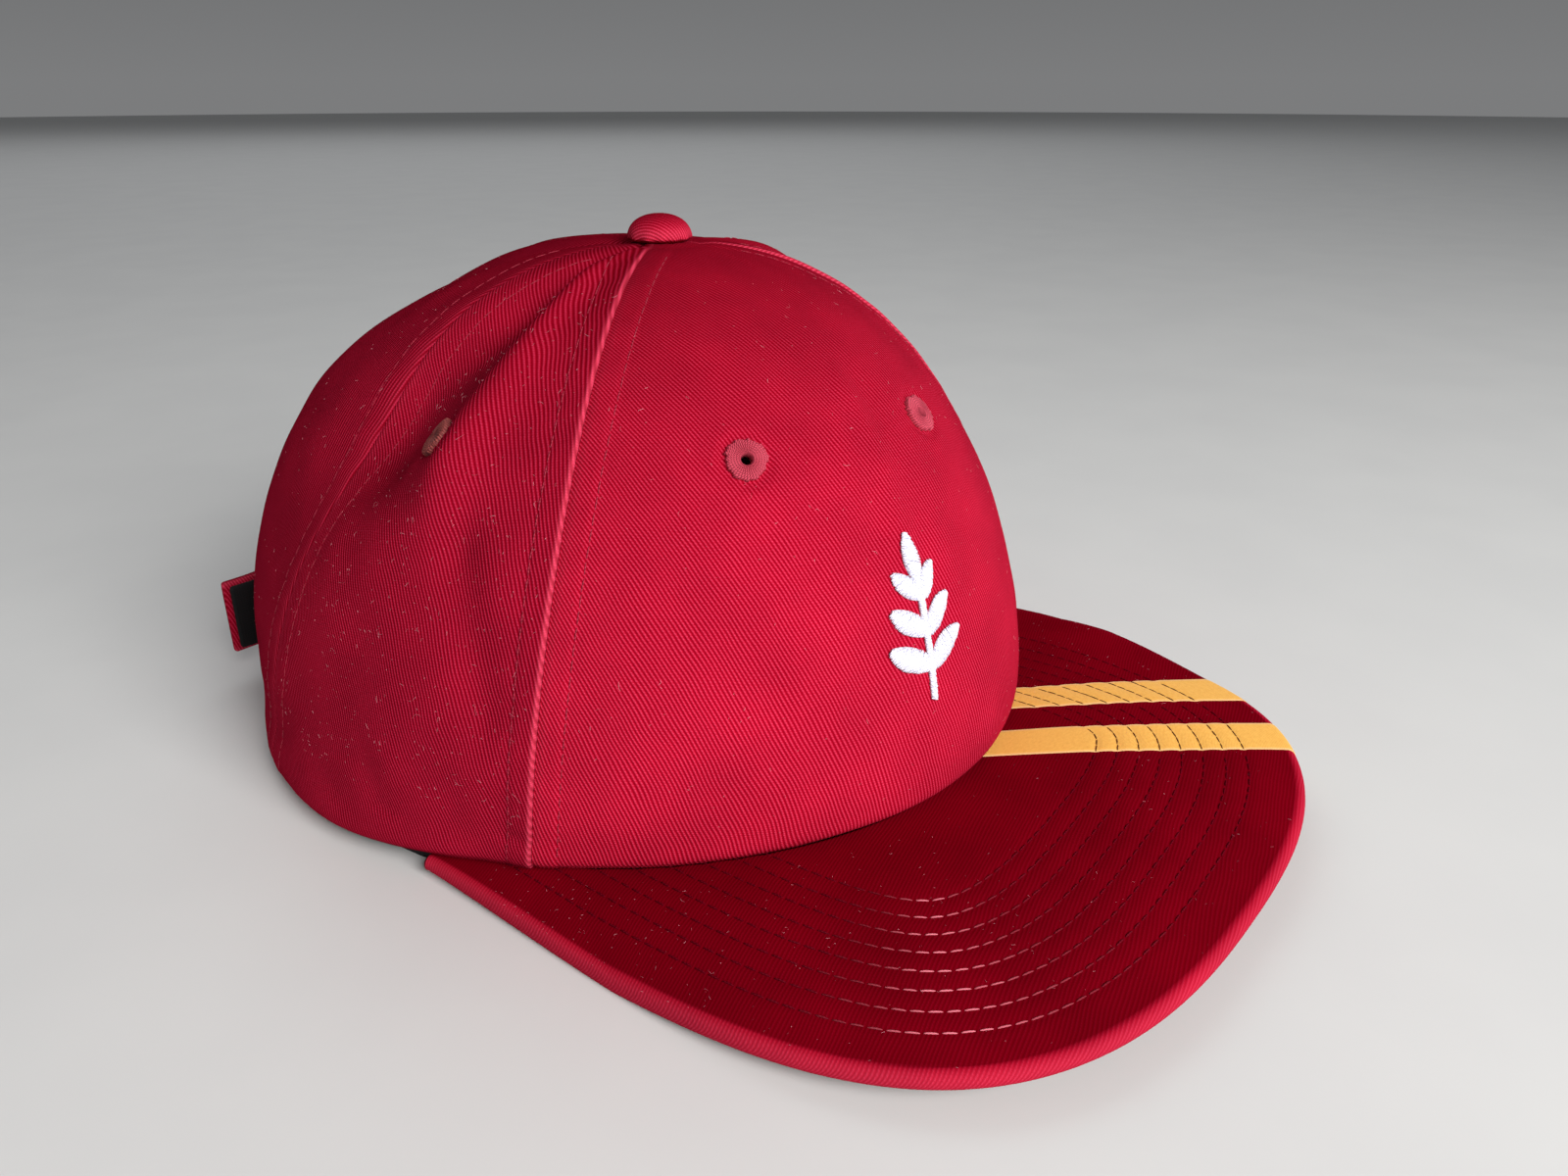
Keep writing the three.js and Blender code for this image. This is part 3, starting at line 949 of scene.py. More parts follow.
@dataclass(frozen=True)
class Tabletop:
    """A pale smooth floor, faintly uneven."""

    name: str = "pale_floor"
    low: Colour = (0.65, 0.655, 0.652)
    high: Colour = (0.67, 0.675, 0.67)

    def material(self) -> bpy.types.Material:
        """Build the floor's material.

        Returns:
            The finished material.
        """
        graph = Graph(self.name)
        place = graph.node("ShaderNodeTexCoord", {}).outputs["Object"]
        colour = graph.ramp(graph.noise(place, 18, 4), ((0.35, self.low), (0.65, self.high)))
        return graph.shade(base_color=colour, roughness=0.55, specular_ior_level=0.3)


@dataclass(frozen=True)
class Finishes:
    """Every finish of the cap."""

    front: bpy.types.Material
    side_right: bpy.types.Material
    side_left: bpy.types.Material
    back: bpy.types.Material
    peak: bpy.types.Material
    thread: bpy.types.Material
    row_thread: bpy.types.Material
    dark_thread: bpy.types.Material
    eyelet: bpy.types.Material
    # Painted shade: a darker eyelet thread for the eyelet in the right side's dent.
    dusty_eyelet: bpy.types.Material
    stripe: bpy.types.Material
    lining: bpy.types.Material
    motif: bpy.types.Material
    lint: bpy.types.Material


def make_finishes() -> Finishes:
    """Build all materials of the cap.

    Returns:
        The finished set.
    """
    red = [linear(code) for code in ("7f0012", "b10d2a", "dc4062", "e2506c")]
    # A shaded copy of the red twill: painted shade for the right side and back panels.
    shaded = [linear(code) for code in ("70000f", "9a0a24", "c83456", "e2506c")]
    black = [linear(code) for code in ("030303", "0e0d10", "1a181b")]
    yellow = [linear(code) for code in ("e3a03a", "f8bf58", "fbd49a")]
    # The peak's strong shade tint paints its level top dark.
    peak = Twill(
        "twill_peak", *red, 105, pitch=0.72, depth=0.22, relief=0.05, sheen=0.0, shade_tint=(0.37, 0.1, 0.22)
    )
    row_thread = Thread(
        "peak_thread", linear("4c0210"), linear("660818"), rough=0.9, gloss=0.0, lit=linear("dc7886")
    )
    motif = Thread("motif_thread", linear("b4b5d2"), linear("ececf6"), rough=0.45, twist=1.0, gloss=0.4)
    # A darker eyelet thread, painted shade for the eyelet in the right side panel's dent.
    eyelet_in_shade = Thread("eyelet_thread_dusty", linear("5a2026"), linear("8c443f"), twist=0.5)
    return Finishes(
        front=Twill("twill_front", *red, 20).material(),
        side_right=Twill("twill_side_right", *shaded, 28, pitch=0.7, shade_tint=(0.6, 0.36, 0.45)).material(),
        side_left=Twill("twill_side_left", *red, 12, pitch=0.7).material(),
        back=Twill("twill_back", *shaded, 20, pitch=0.72).material(),
        peak=peak.material(),
        thread=Thread("sewing_thread", linear("700c20"), linear("a63044")).material(),
        row_thread=row_thread.material(),
        dark_thread=Thread("peak_thread_dark", linear("3a1606"), linear("5e2a0c")).material(),
        eyelet=Thread("eyelet_thread", linear("7c2030"), linear("c4485c"), twist=0.5).material(),
        dusty_eyelet=eyelet_in_shade.material(),
        stripe=PlainCloth("stripe_cloth", *yellow).material(),
        lining=PlainCloth("band_cloth", *black, pitch=0.7, sheen=0.0).material(),
        motif=motif.material(),
        lint=Thread("lint_fibre", linear("bc5a6a"), linear("e8a0ac"), rough=0.9, twist=5).material(),
    )


# Crown


@dataclass(frozen=True)
class Seam:
    """A seam between two panels, the same on both sides of the crown."""

    angle: float
    lean: float
    low_share: float = 0.15

    def line(self, side: int, level: Array) -> Array:
        """The seam's angle at each level.

        Args:
            side: -1 for the right seam, 1 for the left.
            level: From -1 at the rim to 1 at the top.

        Returns:
            Degrees from the front.
        """
        level = np.asarray(level, float)
        high_share = 1 - self.low_share
        climb = self.low_share + np.where(level < 0, self.low_share, high_share) * level
        return TWIST + side * (self.angle - self.lean * np.sin(climb * math.pi))


FRONT_SEAM = Seam(49.5, 2.7)
BACK_SEAM = Seam(105, 9)
CENTRE_SEAM = Seam(180, 0)


class SeamEdge(Enum):
    """How a panel's edge meets its seam."""

    UNDER = "tucked under the next panel"
    OVER = "folded over the next panel"
    FLAT = "pressed flat"

    def relief(self, away: Array) -> Array:
        """The edge's height at each distance from the seam.

        Args:
            away: Millimetres from the seam.

        Returns:
            Heights in millimetres.
        """
        sewn = 0.22 * smooth_step(1 - (away - 4.8) / 1.4) - 0.16 * bell(away - 5.3, 0.7)
        if self is SeamEdge.OVER:
            return sewn + 0.5 * bell(away, 3.0) - 0.9 * bell(away, 0.3)
        if self is SeamEdge.UNDER:
            return sewn - 0.3 * bell(away, 1.0)
        return 0.5 * sewn - 0.2 * bell(away, 0.5)

    def wear(self, away: Array) -> Array:
        """How much of the paler colour the edge gets at each distance from the seam: wear, with a painted
        highlight on the folded-over ridge.

        Args:
            away: Millimetres from the seam.

        Returns:
            Shares from 0 to 1.
        """
        if self is SeamEdge.OVER:
            return 0.5 * bell(away - 0.4, 0.5)
        return 0.06 * bell(away - 1.0, 0.8)


@dataclass(frozen=True)
class EyeletPlace:
    """Where an eyelet sits."""

    side: str
    angle: float
    level: float


EYELETS = (
    EyeletPlace("front_right", -28, 0.5),
    EyeletPlace("front_left", 9, 0.51),
    EyeletPlace("side_right", -81, 0.51),
    EyeletPlace("side_left", 67, 0.51),
    EyeletPlace("back_right", -154, 0.56),
    EyeletPlace("back_left", 140, 0.56),
)


@dataclass(frozen=True)
class Arch:
    """The opening in the back of the crown."""

    half_width: float = 36
    side_height: float = 14
    height: float = 46
    foot: float = -10
    front_limit: float = 40
    cut_from: float = 60
    cut_depth: float = 70
    far: float = 1e9

    def across(self, points: Array) -> Array:
        """How far each place lies across the back, from the opening's middle."""
        turn = math.radians(TWIST)
        return points[..., 0] * math.cos(turn) + points[..., 1] * math.sin(turn)

    def outline(self, steps: int) -> Array:
        """The opening's outline across and up, from its right foot to its left.

        Args:
            steps: How many places lie on the curved part.

        Returns:
            Its places, two numbers each.
        """
        turn = np.linspace(math.pi, 0, steps)
        rise = self.height - self.side_height
        top = np.stack([self.half_width * np.cos(turn), self.side_height + rise * np.sin(turn)], -1)
        right, left = [[-self.half_width, self.foot]], [[self.half_width, self.foot]]
        return np.concatenate([right, top, left])

    def away(self, points: Array) -> Array:
        """How far each place at the back lies outside the opening.

        Args:
            points: Places on the cap.

        Returns:
            Millimetres, very far for places in front.
        """
        here = np.stack([self.across(points), points[..., 2]], -1)
        edge = self.outline(60)
        low = np.full(here.shape[:-1], self.far)
        for start, end in zip(edge[:-1], edge[1:]):
            along = end - start
            part = np.clip((here - start) @ along / (along @ along), 0, 1)
            low = np.minimum(low, np.linalg.norm(here - start - part[..., None] * along, axis=-1))
        return np.where(points[..., 1] > self.front_limit, low, self.far)

    def cutter(self) -> bpy.types.Object:
        """Model the block that the opening is cut with.

        Returns:
            The block, to be removed after the cut.
        """
        edge = self.outline(48)
        deselect()
        bpy.ops.mesh.primitive_circle_add(vertices=len(edge), fill_type="NGON")
        block = bpy.context.active_object
        sine, cosine = math.sin(math.radians(TWIST)), math.cos(math.radians(TWIST))
        x = edge[:, 0] * cosine - self.cut_from * sine
        y = edge[:, 0] * sine + self.cut_from * cosine
        set_points(block, np.stack([x, y, edge[:, 1]], -1))
        push = (-self.cut_depth * MM * sine, self.cut_depth * MM * cosine, 0)
        edit(
            block,
            lambda: bpy.ops.mesh.extrude_region_move(TRANSFORM_OT_translate={"value": push}),
            lambda: bpy.ops.mesh.select_all(action="SELECT"),
            lambda: bpy.ops.mesh.normals_make_consistent(inside=False),
        )
        return block


ARCH = Arch()


@dataclass
class CrownPanel:
    """One cloth panel of the crown."""

    name: str
    first: Seam
    first_side: int
    first_edge: SeamEdge
    last: Seam
    last_side: int
    last_edge: SeamEdge
    eyelets: str
    soft: float
    seed: int
    fine: tuple[float, ...] = (
        0, 0.15, 0.35, 0.6, 0.9, 1.25, 1.6, 2.0, 2.5, 3.1, 3.8, 4.5, 5.0, 5.4, 5.8, 6.2, 6.7, 7.4, 8.3,
    )
    step: float = 1.35
    clearance: float = 0.06
    hole: float = 2.2
    arch_row: float = 6

    def angles(self, level: Array) -> tuple[Array, Array]:
        """The panel's two edges at each level."""
        return self.first.line(self.first_side, level), self.last.line(self.last_side, level)

    def relief(self, angle: Array, level: Array) -> Array:
        """The panel's height over the smooth crown at each place.

        Args:
            angle: Degrees from the front.
            level: From -1 at the rim to 1 at the top.

        Returns:
            Heights in millimetres.
        """
        low, high = self.angles(level)
        rate = CROWN.rate(angle, level)
        here = CROWN.smooth(angle, level)
        from_first, from_last = (angle - low) * rate, (high - angle) * rate
        narrow = smooth_step((from_first + from_last - 4) / 26)
        seams = self.first_edge.relief(from_first) + self.last_edge.relief(from_last)
        up, away = here[..., 2], angle * 1.4
        pucker = 0.1 * np.sin(up * 0.85 + 2 * ripple(up, 0 * up, 30, self.seed))
        pucker = pucker * (bell(from_first - 4, 3.5) + bell(from_last - 4, 3.5))
        waves = ripple(away, up, 34, self.seed) * 0.55 + ripple(away, up, 13, self.seed + 7) * 0.13
        inside = smooth_step((np.minimum(from_first, from_last) - 2) / 12)
        total = CROWN.folds(angle, level) + narrow * (seams + pucker)
        total = total + self.soft * waves * inside * narrow
        return total + self.hem(here, angle) + self.dimples(here)

    def hem(self, here: Array, angle: Array) -> Array:
        """The turned-in rim and the turned edge of the arch.

        Args:
            here: Places on the crown before its folds.
            angle: Degrees from the front.

        Returns:
            Heights in millimetres.
        """
        up = here[..., 2] - CROWN.rim(angle)
        rim = -0.9 * bell(up, 1.1) + 0.15 * bell(up - 3.2, 1.8)
        if not self.name.startswith("back"):
            return rim
        away = ARCH.away(here)
        turned = 0.5 * bell(away - 2.6, 2.2) - 0.5 * bell(away, 0.8)
        return rim + turned - 0.25 * bell(away - self.arch_row, 0.7)

    def dimples(self, here: Array) -> Array:
        """The hollows round the eyelets and under the button.

        Args:
            here: Places on the crown before its folds.

        Returns:
            Heights in millimetres, below 0.
        """
        total = np.zeros(here.shape[:-1])
        for place in EYELETS:
            if place.side.startswith(self.eyelets):
                away = np.linalg.norm(here - CROWN.smooth(place.angle, place.level), axis=-1)
                total -= 0.6 * bell(away - 4.3, 0.8) + 0.1 * bell(away, 9)
        top = np.linalg.norm(here - np.array([0, CROWN.top_shift, CROWN.height]), axis=-1)
        return total - 0.5 * bell(top - 8.5, 2.2)

    def surface(self, angle: Array, level: Array, out: Array | float = 0) -> Array:
        """Places a distance out from the panel's outer face."""
        lift = self.relief(angle, level) + out
        return CROWN.smooth(angle, level) + CROWN.normal(angle, level) * lift[..., None]

    def grid(self) -> tuple[Array, Array]:
        """Angles and levels of the panel's rows and columns.

        Returns:
            Both as rows of columns.
        """
        low, high = self.angles(np.array(0.0))
        width = float((high - low) * CROWN.rate((low + high) / 2, 0))
        fine = np.array(self.fine)
        columns = max(2, round((width - 2 * fine[-1]) / self.step)) + 1
        middle = np.linspace(fine[-1], width - fine[-1], columns)
        across = np.concatenate([fine[:-1], middle, (width - fine[:-1])[::-1]]) / width
        hem, foot = np.linspace(-1, -0.86, 6)[:-1], np.linspace(-0.86, 0, 15)[:-1]
        up = np.concatenate([hem, foot, np.linspace(0, 1, 105)])
        top = CROWN.top_level(low + (high - low) * across)
        level = np.where(up[:, None] > 0, up[:, None] * top[None, :], up[:, None])
        first, last = self.angles(level)
        plan = CROWN.smooth(first, level) - np.array([0, CROWN.top_shift, 0])
        radius = np.maximum(np.hypot(plan[..., 0], plan[..., 1]), CROWN.top_hole)
        clear = np.degrees(self.clearance / radius)
        return first + clear + (last - first - 2 * clear) * across, level

    def build(self, material: bpy.types.Material, cutter: bpy.types.Object) -> bpy.types.Object:
        """Make and dress the panel.

        Args:
            material: The panel's cloth.
            cutter: The block for the back opening.

        Returns:
            The finished panel.
        """
        angle, level = self.grid()
        outer = self.surface(angle, level)
        base = CROWN.smooth(angle, level)
        depth = CROWN.wall + 0.3 * bell(base[..., 2] - CROWN.rim(angle), 1.0)
        inner = CROWN.point(angle, level, -depth)
        across = np.linalg.norm(np.diff(base, axis=1), axis=-1)
        u = np.concatenate([np.zeros((len(base), 1)), np.cumsum(across, 1)], 1)
        u = u - u[:, [u.shape[1] // 2]]
        along = np.linalg.norm(np.diff(base, axis=0), axis=-1)
        v = np.concatenate([np.zeros((1, base.shape[1])), np.cumsum(along, 0)])
        low, high = self.angles(level)
        rate = CROWN.rate(angle, level)
        # Wear along the seams, and a painted highlight on a folded-over ridge.
        wear = self.first_edge.wear((angle - low) * rate)
        wear = wear + self.last_edge.wear((high - angle) * rate)
        obj = cloth_body(f"{self.name}_cloth", outer, inner, np.stack([u, v], -1), wear)
        for place in EYELETS:
            if place.side.startswith(self.eyelets):
                self.punch(obj, place)
        if self.name.startswith("back"):
            self.cut(obj, cutter)
        dress(obj, material, "twill", Shading.CREASED, self.name)
        return obj

    def cut(self, obj: bpy.types.Object, cutter: bpy.types.Object) -> None:
        """Cut a block out of the panel.

        Args:
            obj: The mesh object.
            cutter: The block.
        """
        modifier = obj.modifiers.new("Cut", "BOOLEAN")
        modifier.operation = "DIFFERENCE"
        modifier.object = cutter
        modifier.solver = "EXACT"
        apply_all(obj)

    def punch(self, obj: bpy.types.Object, place: EyeletPlace) -> None:
        """Cut an eyelet's hole.

        Args:
            obj: The mesh object.
            place: Where the eyelet sits.
        """
        deselect()
        middle = (CROWN.point(place.angle, place.level) + AXIS) * MM
        turn = Vector(CROWN.facing(place.angle, place.level)).to_track_quat("Z", "Y").to_euler()
        size = {"radius": self.hole * MM, "depth": 14 * MM}
        bpy.ops.mesh.primitive_cylinder_add(vertices=28, location=middle, rotation=turn, **size)
        block = bpy.context.active_object
        self.cut(obj, block)
        bpy.data.objects.remove(block)


PANELS = (
    CrownPanel(
        "front_panel", FRONT_SEAM, -1, SeamEdge.UNDER, FRONT_SEAM, 1, SeamEdge.UNDER, "front", 0.45, 3
    ),
    CrownPanel(
        "side_panel_right", BACK_SEAM, -1, SeamEdge.FLAT, FRONT_SEAM, -1, SeamEdge.OVER,
        "side_right", 1.0, 5,
    ),
    CrownPanel(
        "side_panel_left", FRONT_SEAM, 1, SeamEdge.OVER, BACK_SEAM, 1, SeamEdge.FLAT, "side_left", 1.0, 8
    ),
    CrownPanel(
        "back_panel_right", CENTRE_SEAM, -1, SeamEdge.FLAT, BACK_SEAM, -1, SeamEdge.FLAT,
        "back_right", 1.0, 12,
    ),
    CrownPanel(
        "back_panel_left", BACK_SEAM, 1, SeamEdge.FLAT, CENTRE_SEAM, 1, SeamEdge.FLAT, "back_left", 1.0, 16
    ),
)


@dataclass
class Crown:
    """The five panels, their stitching, eyelets and button."""

    panels: tuple[CrownPanel, ...] = PANELS
    row_away: float = 5.3
    arch_row: float = 6
    arch_clear: float = 7
    arch_swing: float = 0.25
    back_radius: float = 92
    lift: float = 0.03
    pitch: float = 3.0
    stitch: float = 2.6
    thread: float = 0.24

    def seam_rows(self) -> list[Row]:
        """The stitch rows beside every seam.

        Returns:
            Places and outward directions along each row.
        """
        rows = []
        level = np.concatenate([np.linspace(-0.93, 0, 12)[:-1], np.linspace(0, 0.9, 90)])
        for panel in self.panels:
            for edge, sign in ((0, 1), (1, -1)):
                line = panel.angles(level)[edge]
                angle = line + sign * self.row_away / CROWN.rate(line, level)
                low, high = panel.angles(level)
                kept = (angle > low) & (angle < high)
                points = panel.surface(angle, level, self.lift)
                if panel.name.startswith("back"):
                    aside = np.abs(ARCH.across(points))
                    kept &= ARCH.away(points) > self.arch_clear
                    kept &= (aside > ARCH.half_width) | (points[:, 2] > ARCH.height)
                rows.append((points[kept], CROWN.normal(angle, level)[kept]))
        return rows

    def arch_rows(self) -> list[Row]:
        """The stitch row round the back opening.

        Returns:
            Places and outward directions along each panel's part of the row.
        """
        turn = np.linspace(math.pi + self.arch_swing, -self.arch_swing, 120)
        wide, rise = ARCH.half_width + self.arch_row, ARCH.height - ARCH.side_height + self.arch_row
        across, height = wide * np.cos(turn), ARCH.side_height + rise * np.sin(turn)
        rows = []
        for panel in self.panels[3:]:
            swing = np.arcsin(np.clip(across / self.back_radius, -1, 1))
            angle = 180 + TWIST - np.degrees(swing)
            for _ in range(6):
                found = ARCH.across(CROWN.smooth(angle, CROWN.level_at(angle, height)))
                angle = angle + np.degrees((found - across) / self.back_radius)
            level = CROWN.level_at(angle, height)
            low, high = panel.angles(level)
            shifted = angle - 360 * ((angle > 180 + TWIST) & (high < 0))
            rate = CROWN.rate(shifted, level)
            kept = ((shifted - low) * rate > 1) & ((high - shifted) * rate > 1)
            points = panel.surface(shifted, level, self.lift)
            rows.append((points[kept], CROWN.normal(shifted, level)[kept]))
        return rows

    def build(self, finishes: Finishes) -> None:
        """Make and dress the crown.

        Args:
            finishes: The cap's materials.
        """
        cutter = ARCH.cutter()
        sides, back = (finishes.side_right, finishes.side_left), finishes.back
        for panel, cloth in zip(self.panels, (finishes.front, *sides, back, back)):
            panel.build(cloth, cutter)
        bpy.data.objects.remove(cutter)
        for name, rows, seed in (
            ("seam_stitches", self.seam_rows(), 21),
            ("arch_stitches", self.arch_rows(), 22),
        ):
            obj = stitches_along(name, rows, self.pitch, self.stitch, self.thread, seed)
            dress(obj, finishes.thread, "thread", Shading.SMOOTH)
        for place in EYELETS:
            # The eyelet in the right side's dent gets the darker, painted-shade thread.
            eyelet_in_shade = place.side == "side_right"
            Eyelet(place).build(finishes.dusty_eyelet if eyelet_in_shade else finishes.eyelet)
        TopButton().build(finishes.front)


@dataclass
class Eyelet:
    """An embroidered eyelet: a ring of satin stitches round a hole."""

    place: EyeletPlace
    hole: float = 1.0
    radius: float = 4.0
    rise: float = 0.75
    threads: int = 40
    steps: int = 14

    def profile(self) -> Array:
        """The ring's section from the hole's foot over its crest to its outer edge.

        Returns:
            Distances from the middle and heights.
        """
        turn = np.linspace(0, 1, self.steps)
        reach = self.hole + (self.radius - self.hole) * smooth_step(turn * 1.02) ** 1.1
        height = self.rise * np.sin(np.pi * np.clip(0.16 + 0.84 * turn, 0, 1)) ** 0.55
        return np.stack([reach, height - 1.3 * bell(turn, 0.12)], -1)

    def build(self, material: bpy.types.Material) -> bpy.types.Object:
        """Make and dress the eyelet.

        Args:
            material: Its thread.

        Returns:
            The finished ring.
        """
        rng = np.random.default_rng(round(abs(self.place.angle) * 10))
        middle = CROWN.point(self.place.angle, self.place.level)
        normal = CROWN.facing(self.place.angle, self.place.level)
        side = unit(np.cross(UP, normal))
        top = np.cross(normal, side)
        profile = self.profile()
        back = np.stack([profile[::-1, 0] - 0.02, np.full(self.steps, -CROWN.wall - 0.3)], -1)
        section = np.concatenate([profile, back])
        columns = self.threads * 6
        turn = np.linspace(0, 2 * math.pi, columns, endpoint=False)
        thread = np.abs(np.sin(turn * self.threads / 2)) ** 0.6
        uneven = np.repeat(rng.uniform(-1, 1, self.threads), 6)
        crest = np.concatenate([np.ones(self.steps), np.zeros(self.steps)])
        ragged = uneven[:, None] * 0.28 * (section[None, :, 0] / self.radius) ** 3
        reach = section[None, :, 0] + crest[None, :] * ragged
        groove = (thread[:, None] - 1) * 0.38 * smooth_step(reach - self.hole + 0.3)
        height = section[None, :, 1] + crest[None, :] * groove
        around = np.cos(turn)[:, None, None] * side + np.sin(turn)[:, None, None] * top
        rings = middle + around * reach[..., None] + normal * height[..., None]
        weave = np.stack(np.broadcast_arrays(reach, turn[:, None] / (2 * math.pi) * self.threads), -1)
        closed = np.concatenate([rings, rings[:1]])
        node = f"eyelet_{self.place.side}"
        weave = np.concatenate([weave, weave[:1] + [0, self.threads]])
        obj = ring_body(f"{node}_ring", closed, weave)
        dress(obj, material, "thread", Shading.SMOOTH, node)
        return obj


@dataclass
class TopButton:
    """The cloth-covered button on the crown's top."""

    radius: float = 7
    height: float = 4.8
    lip: float = 0.8
    rows: int = 30
    columns: int = 72

    def build(self, material: bpy.types.Material) -> bpy.types.Object:
        """Make and dress the button.

        Args:
            material: Its cloth.

        Returns:
            The finished button.
        """
        share = np.linspace(0.02, 1, self.rows)
        foot, brow = CROWN.height - 0.6, CROWN.height + self.lip
        over = share < 0.7
        rise = np.where(over, share / 0.7, 1) * math.pi / 2
        under = np.clip((share - 0.7) / 0.3, 0, 1)
        reach = self.radius * np.sin(rise) ** 0.92 * (1 - 0.5 * under**2)
        dome = brow + self.height * np.cos(rise) ** 0.95
        height = np.where(over, dome, brow - under * (brow - foot))
        turn = np.linspace(0, 2 * math.pi, self.columns, endpoint=False)
        gather = 0.22 * np.sin(turn * 13 + 0.8 * np.sin(turn * 3)) * bell(share[:, None] - 0.78, 0.14)
        spread = reach[:, None] + gather
        x, y = spread * np.cos(turn), CROWN.top_shift + spread * np.sin(turn)
        points = np.stack([x, y, np.broadcast_to(height[:, None], spread.shape)], -1)
        arc = np.concatenate([[0], np.cumsum(np.hypot(np.diff(reach), np.diff(height)))]) + 0.1
        weave = np.stack([arc[:, None] * np.cos(turn), arc[:, None] * np.sin(turn)], -1)
        wear = 0.25 * bell(share[:, None] - 0.62, 0.12) + 0 * spread
        obj = ring_body("top_button_cover", points, weave, wear)
        dress(obj, material, "twill", Shading.SMOOTH, "top_button")
        return obj


# Sweatband, strap and tapes


@dataclass
class Sweatband:
    """The black band inside the rim."""

    height: float = 30
    thickness: float = 1.5
    end_angle: float = 157
    drop: float = 3.9
    rows: int = 26
    columns: int = 300

    def build(self, finishes: Finishes) -> bpy.types.Object:
        """Make and dress the band.

        Args:
            finishes: The cap's materials.

        Returns:
            The finished band.
        """
        angle = TWIST + np.linspace(-self.end_angle, self.end_angle, self.columns)[None, :]
        rim = CROWN.rim(angle)
        bottom = np.maximum(0, rim - self.drop)
        up = np.linspace(0, 1, self.rows)[:, None]
        height = bottom + self.height * up
        level = CROWN.level_at(angle, height)
        place, normal = CROWN.smooth(angle, level), CROWN.normal(angle, level)
        inset = CROWN.wall + 2 * GAP + np.maximum(0, -CROWN.folds(angle, level))
        edges = 0.35 * bell(up, 0.05) + 0.3 * bell(up - 1, 0.05)
        soft = 0.18 * bell(up - 0.55, 0.3) - edges - 0.15 * bell(up - 0.13, 0.03)
        outer = place - normal * (inset + 0.35 * (bell(up, 0.05) + bell(up - 1, 0.05)))[..., None]
        inner = place - normal * (inset + self.thickness + soft)[..., None]
        outer[..., 2] = inner[..., 2] = height
        weave = np.stack(np.broadcast_arrays(angle * 1.55, height), -1)
        obj = cloth_body("sweatband_cloth", outer, inner, weave, 0.5 * bell(up, 0.05) + 0 * height)
        dress(obj, finishes.lining, "lining", Shading.SMOOTH, "sweatband")
        return obj


@dataclass
class Strip:
    """A strip of cloth along a route round the back of the crown."""

    name: str
    low: float
    high: float
    thickness: float
    route: tuple[tuple[float, float], ...]
    columns: int = 120
    around: int = 48

    def path(self, share: Array) -> tuple[Array, Array]:
        """Places along the strip's inner face and its outward directions there.

        Args:
            share: Places along the strip, from 0 to 1.

        Returns:
            The places and the directions.
        """
        rows = curve_through(np.array(self.route, float), share)
        angle = rows[:, 0]
        foot = CROWN.smooth(angle, CROWN.level_at(angle, (self.low + self.high) / 2))
        outward = unit(foot * np.array([1, 1, 0]))
        points = foot + outward * rows[:, 1:2]
        along = np.gradient(points, axis=0) * np.array([1, 1, 0])
        face = unit(np.cross(unit(along), UP))
        return points, face

    def section(self) -> Array:
        """The strip's rounded section, out and up, as a loop.

        Returns:
            Two numbers for each place of the loop.
        """
        turn = np.linspace(0, 2 * math.pi, self.around, endpoint=False)
        tall, thick = (self.high - self.low) / 2, self.thickness / 2
        up = tall * np.sign(np.sin(turn)) * np.abs(np.sin(turn)) ** 0.35
        out = thick * np.sign(np.cos(turn)) * np.abs(np.cos(turn)) ** 0.45
        return np.stack([out, up], -1)

    def build(self, material: bpy.types.Material, slot: str) -> bpy.types.Object:
        """Make and dress the strip.

        Args:
            material: Its cloth.
            slot: A slot name, passed on to dress.

        Returns:
            The finished strip.
        """
        share = np.linspace(0, 1, self.columns)
        points, face = self.path(share)
        section = self.section()
        middle = (self.low + self.high) / 2
        run = run_along(points)
        ends = np.minimum(run, run[-1] - run)
        close = np.sqrt(np.clip(1 - (1 - np.clip(ends / 0.8, 0, 1)) ** 2, 0.05, 1))[:, None]
        out = (self.thickness / 2 + section[None, :, 0] * close)[..., None]
        rings = points[:, None, :] + face[:, None, :] * out
        rings[..., 2] = middle + section[None, :, 1] * (0.9 + 0.1 * close)
        around = run_along(section)
        weave = np.stack(np.broadcast_arrays(run[:, None], around[None, :]), -1)
        edge = bell(np.abs(section[None, :, 1]) - (self.high - self.low) / 2, 1.0) * 0.4 + 0 * close
        obj = ring_body(f"{self.name}_cloth", rings, weave, edge)
        dress(obj, material, slot, Shading.SMOOTH, self.name)
        return obj

    def rows(self, inset: float) -> list[Row]:
        """Stitch rows along the strip's outer face, an inset from its edges.

        Args:
            inset: Millimetres from each edge.

        Returns:
            Places and outward directions along each row.
        """
        share = np.linspace(0.02, 0.985, 200)
        points, face = self.path(share)
        found = []
        for height in (self.low + inset, self.high - inset):
            row = points + face * (self.thickness + 0.02)
            row[:, 2] = height
            found.append((row, face))
        return found


STRAP = Strip(
    "back_strap", 8, 28, 2,
    (
        (140, 0.4), (150, 0.4), (160, 0.6), (170, 1.3), (180, 2.2), (190, 2.6),
        (198, 2.6), (205, 2.8), (210, 4.1), (214, 7.4), (217.5, 12.4),
    ),
    columns=220,
)
TAB = Strip("strap_tab", 9, 27, 1.5, ((184, 0.4), (188, 0.4), (194, 0.4), (202, 0.4)), columns=60)
TAPE = Strip("hook_tape", 9.2, 26.8, 1, ((207, 1.9), (210.5, 3.0), (214.3, 6.2), (217.3, 10.8)), columns=60)


# Peak


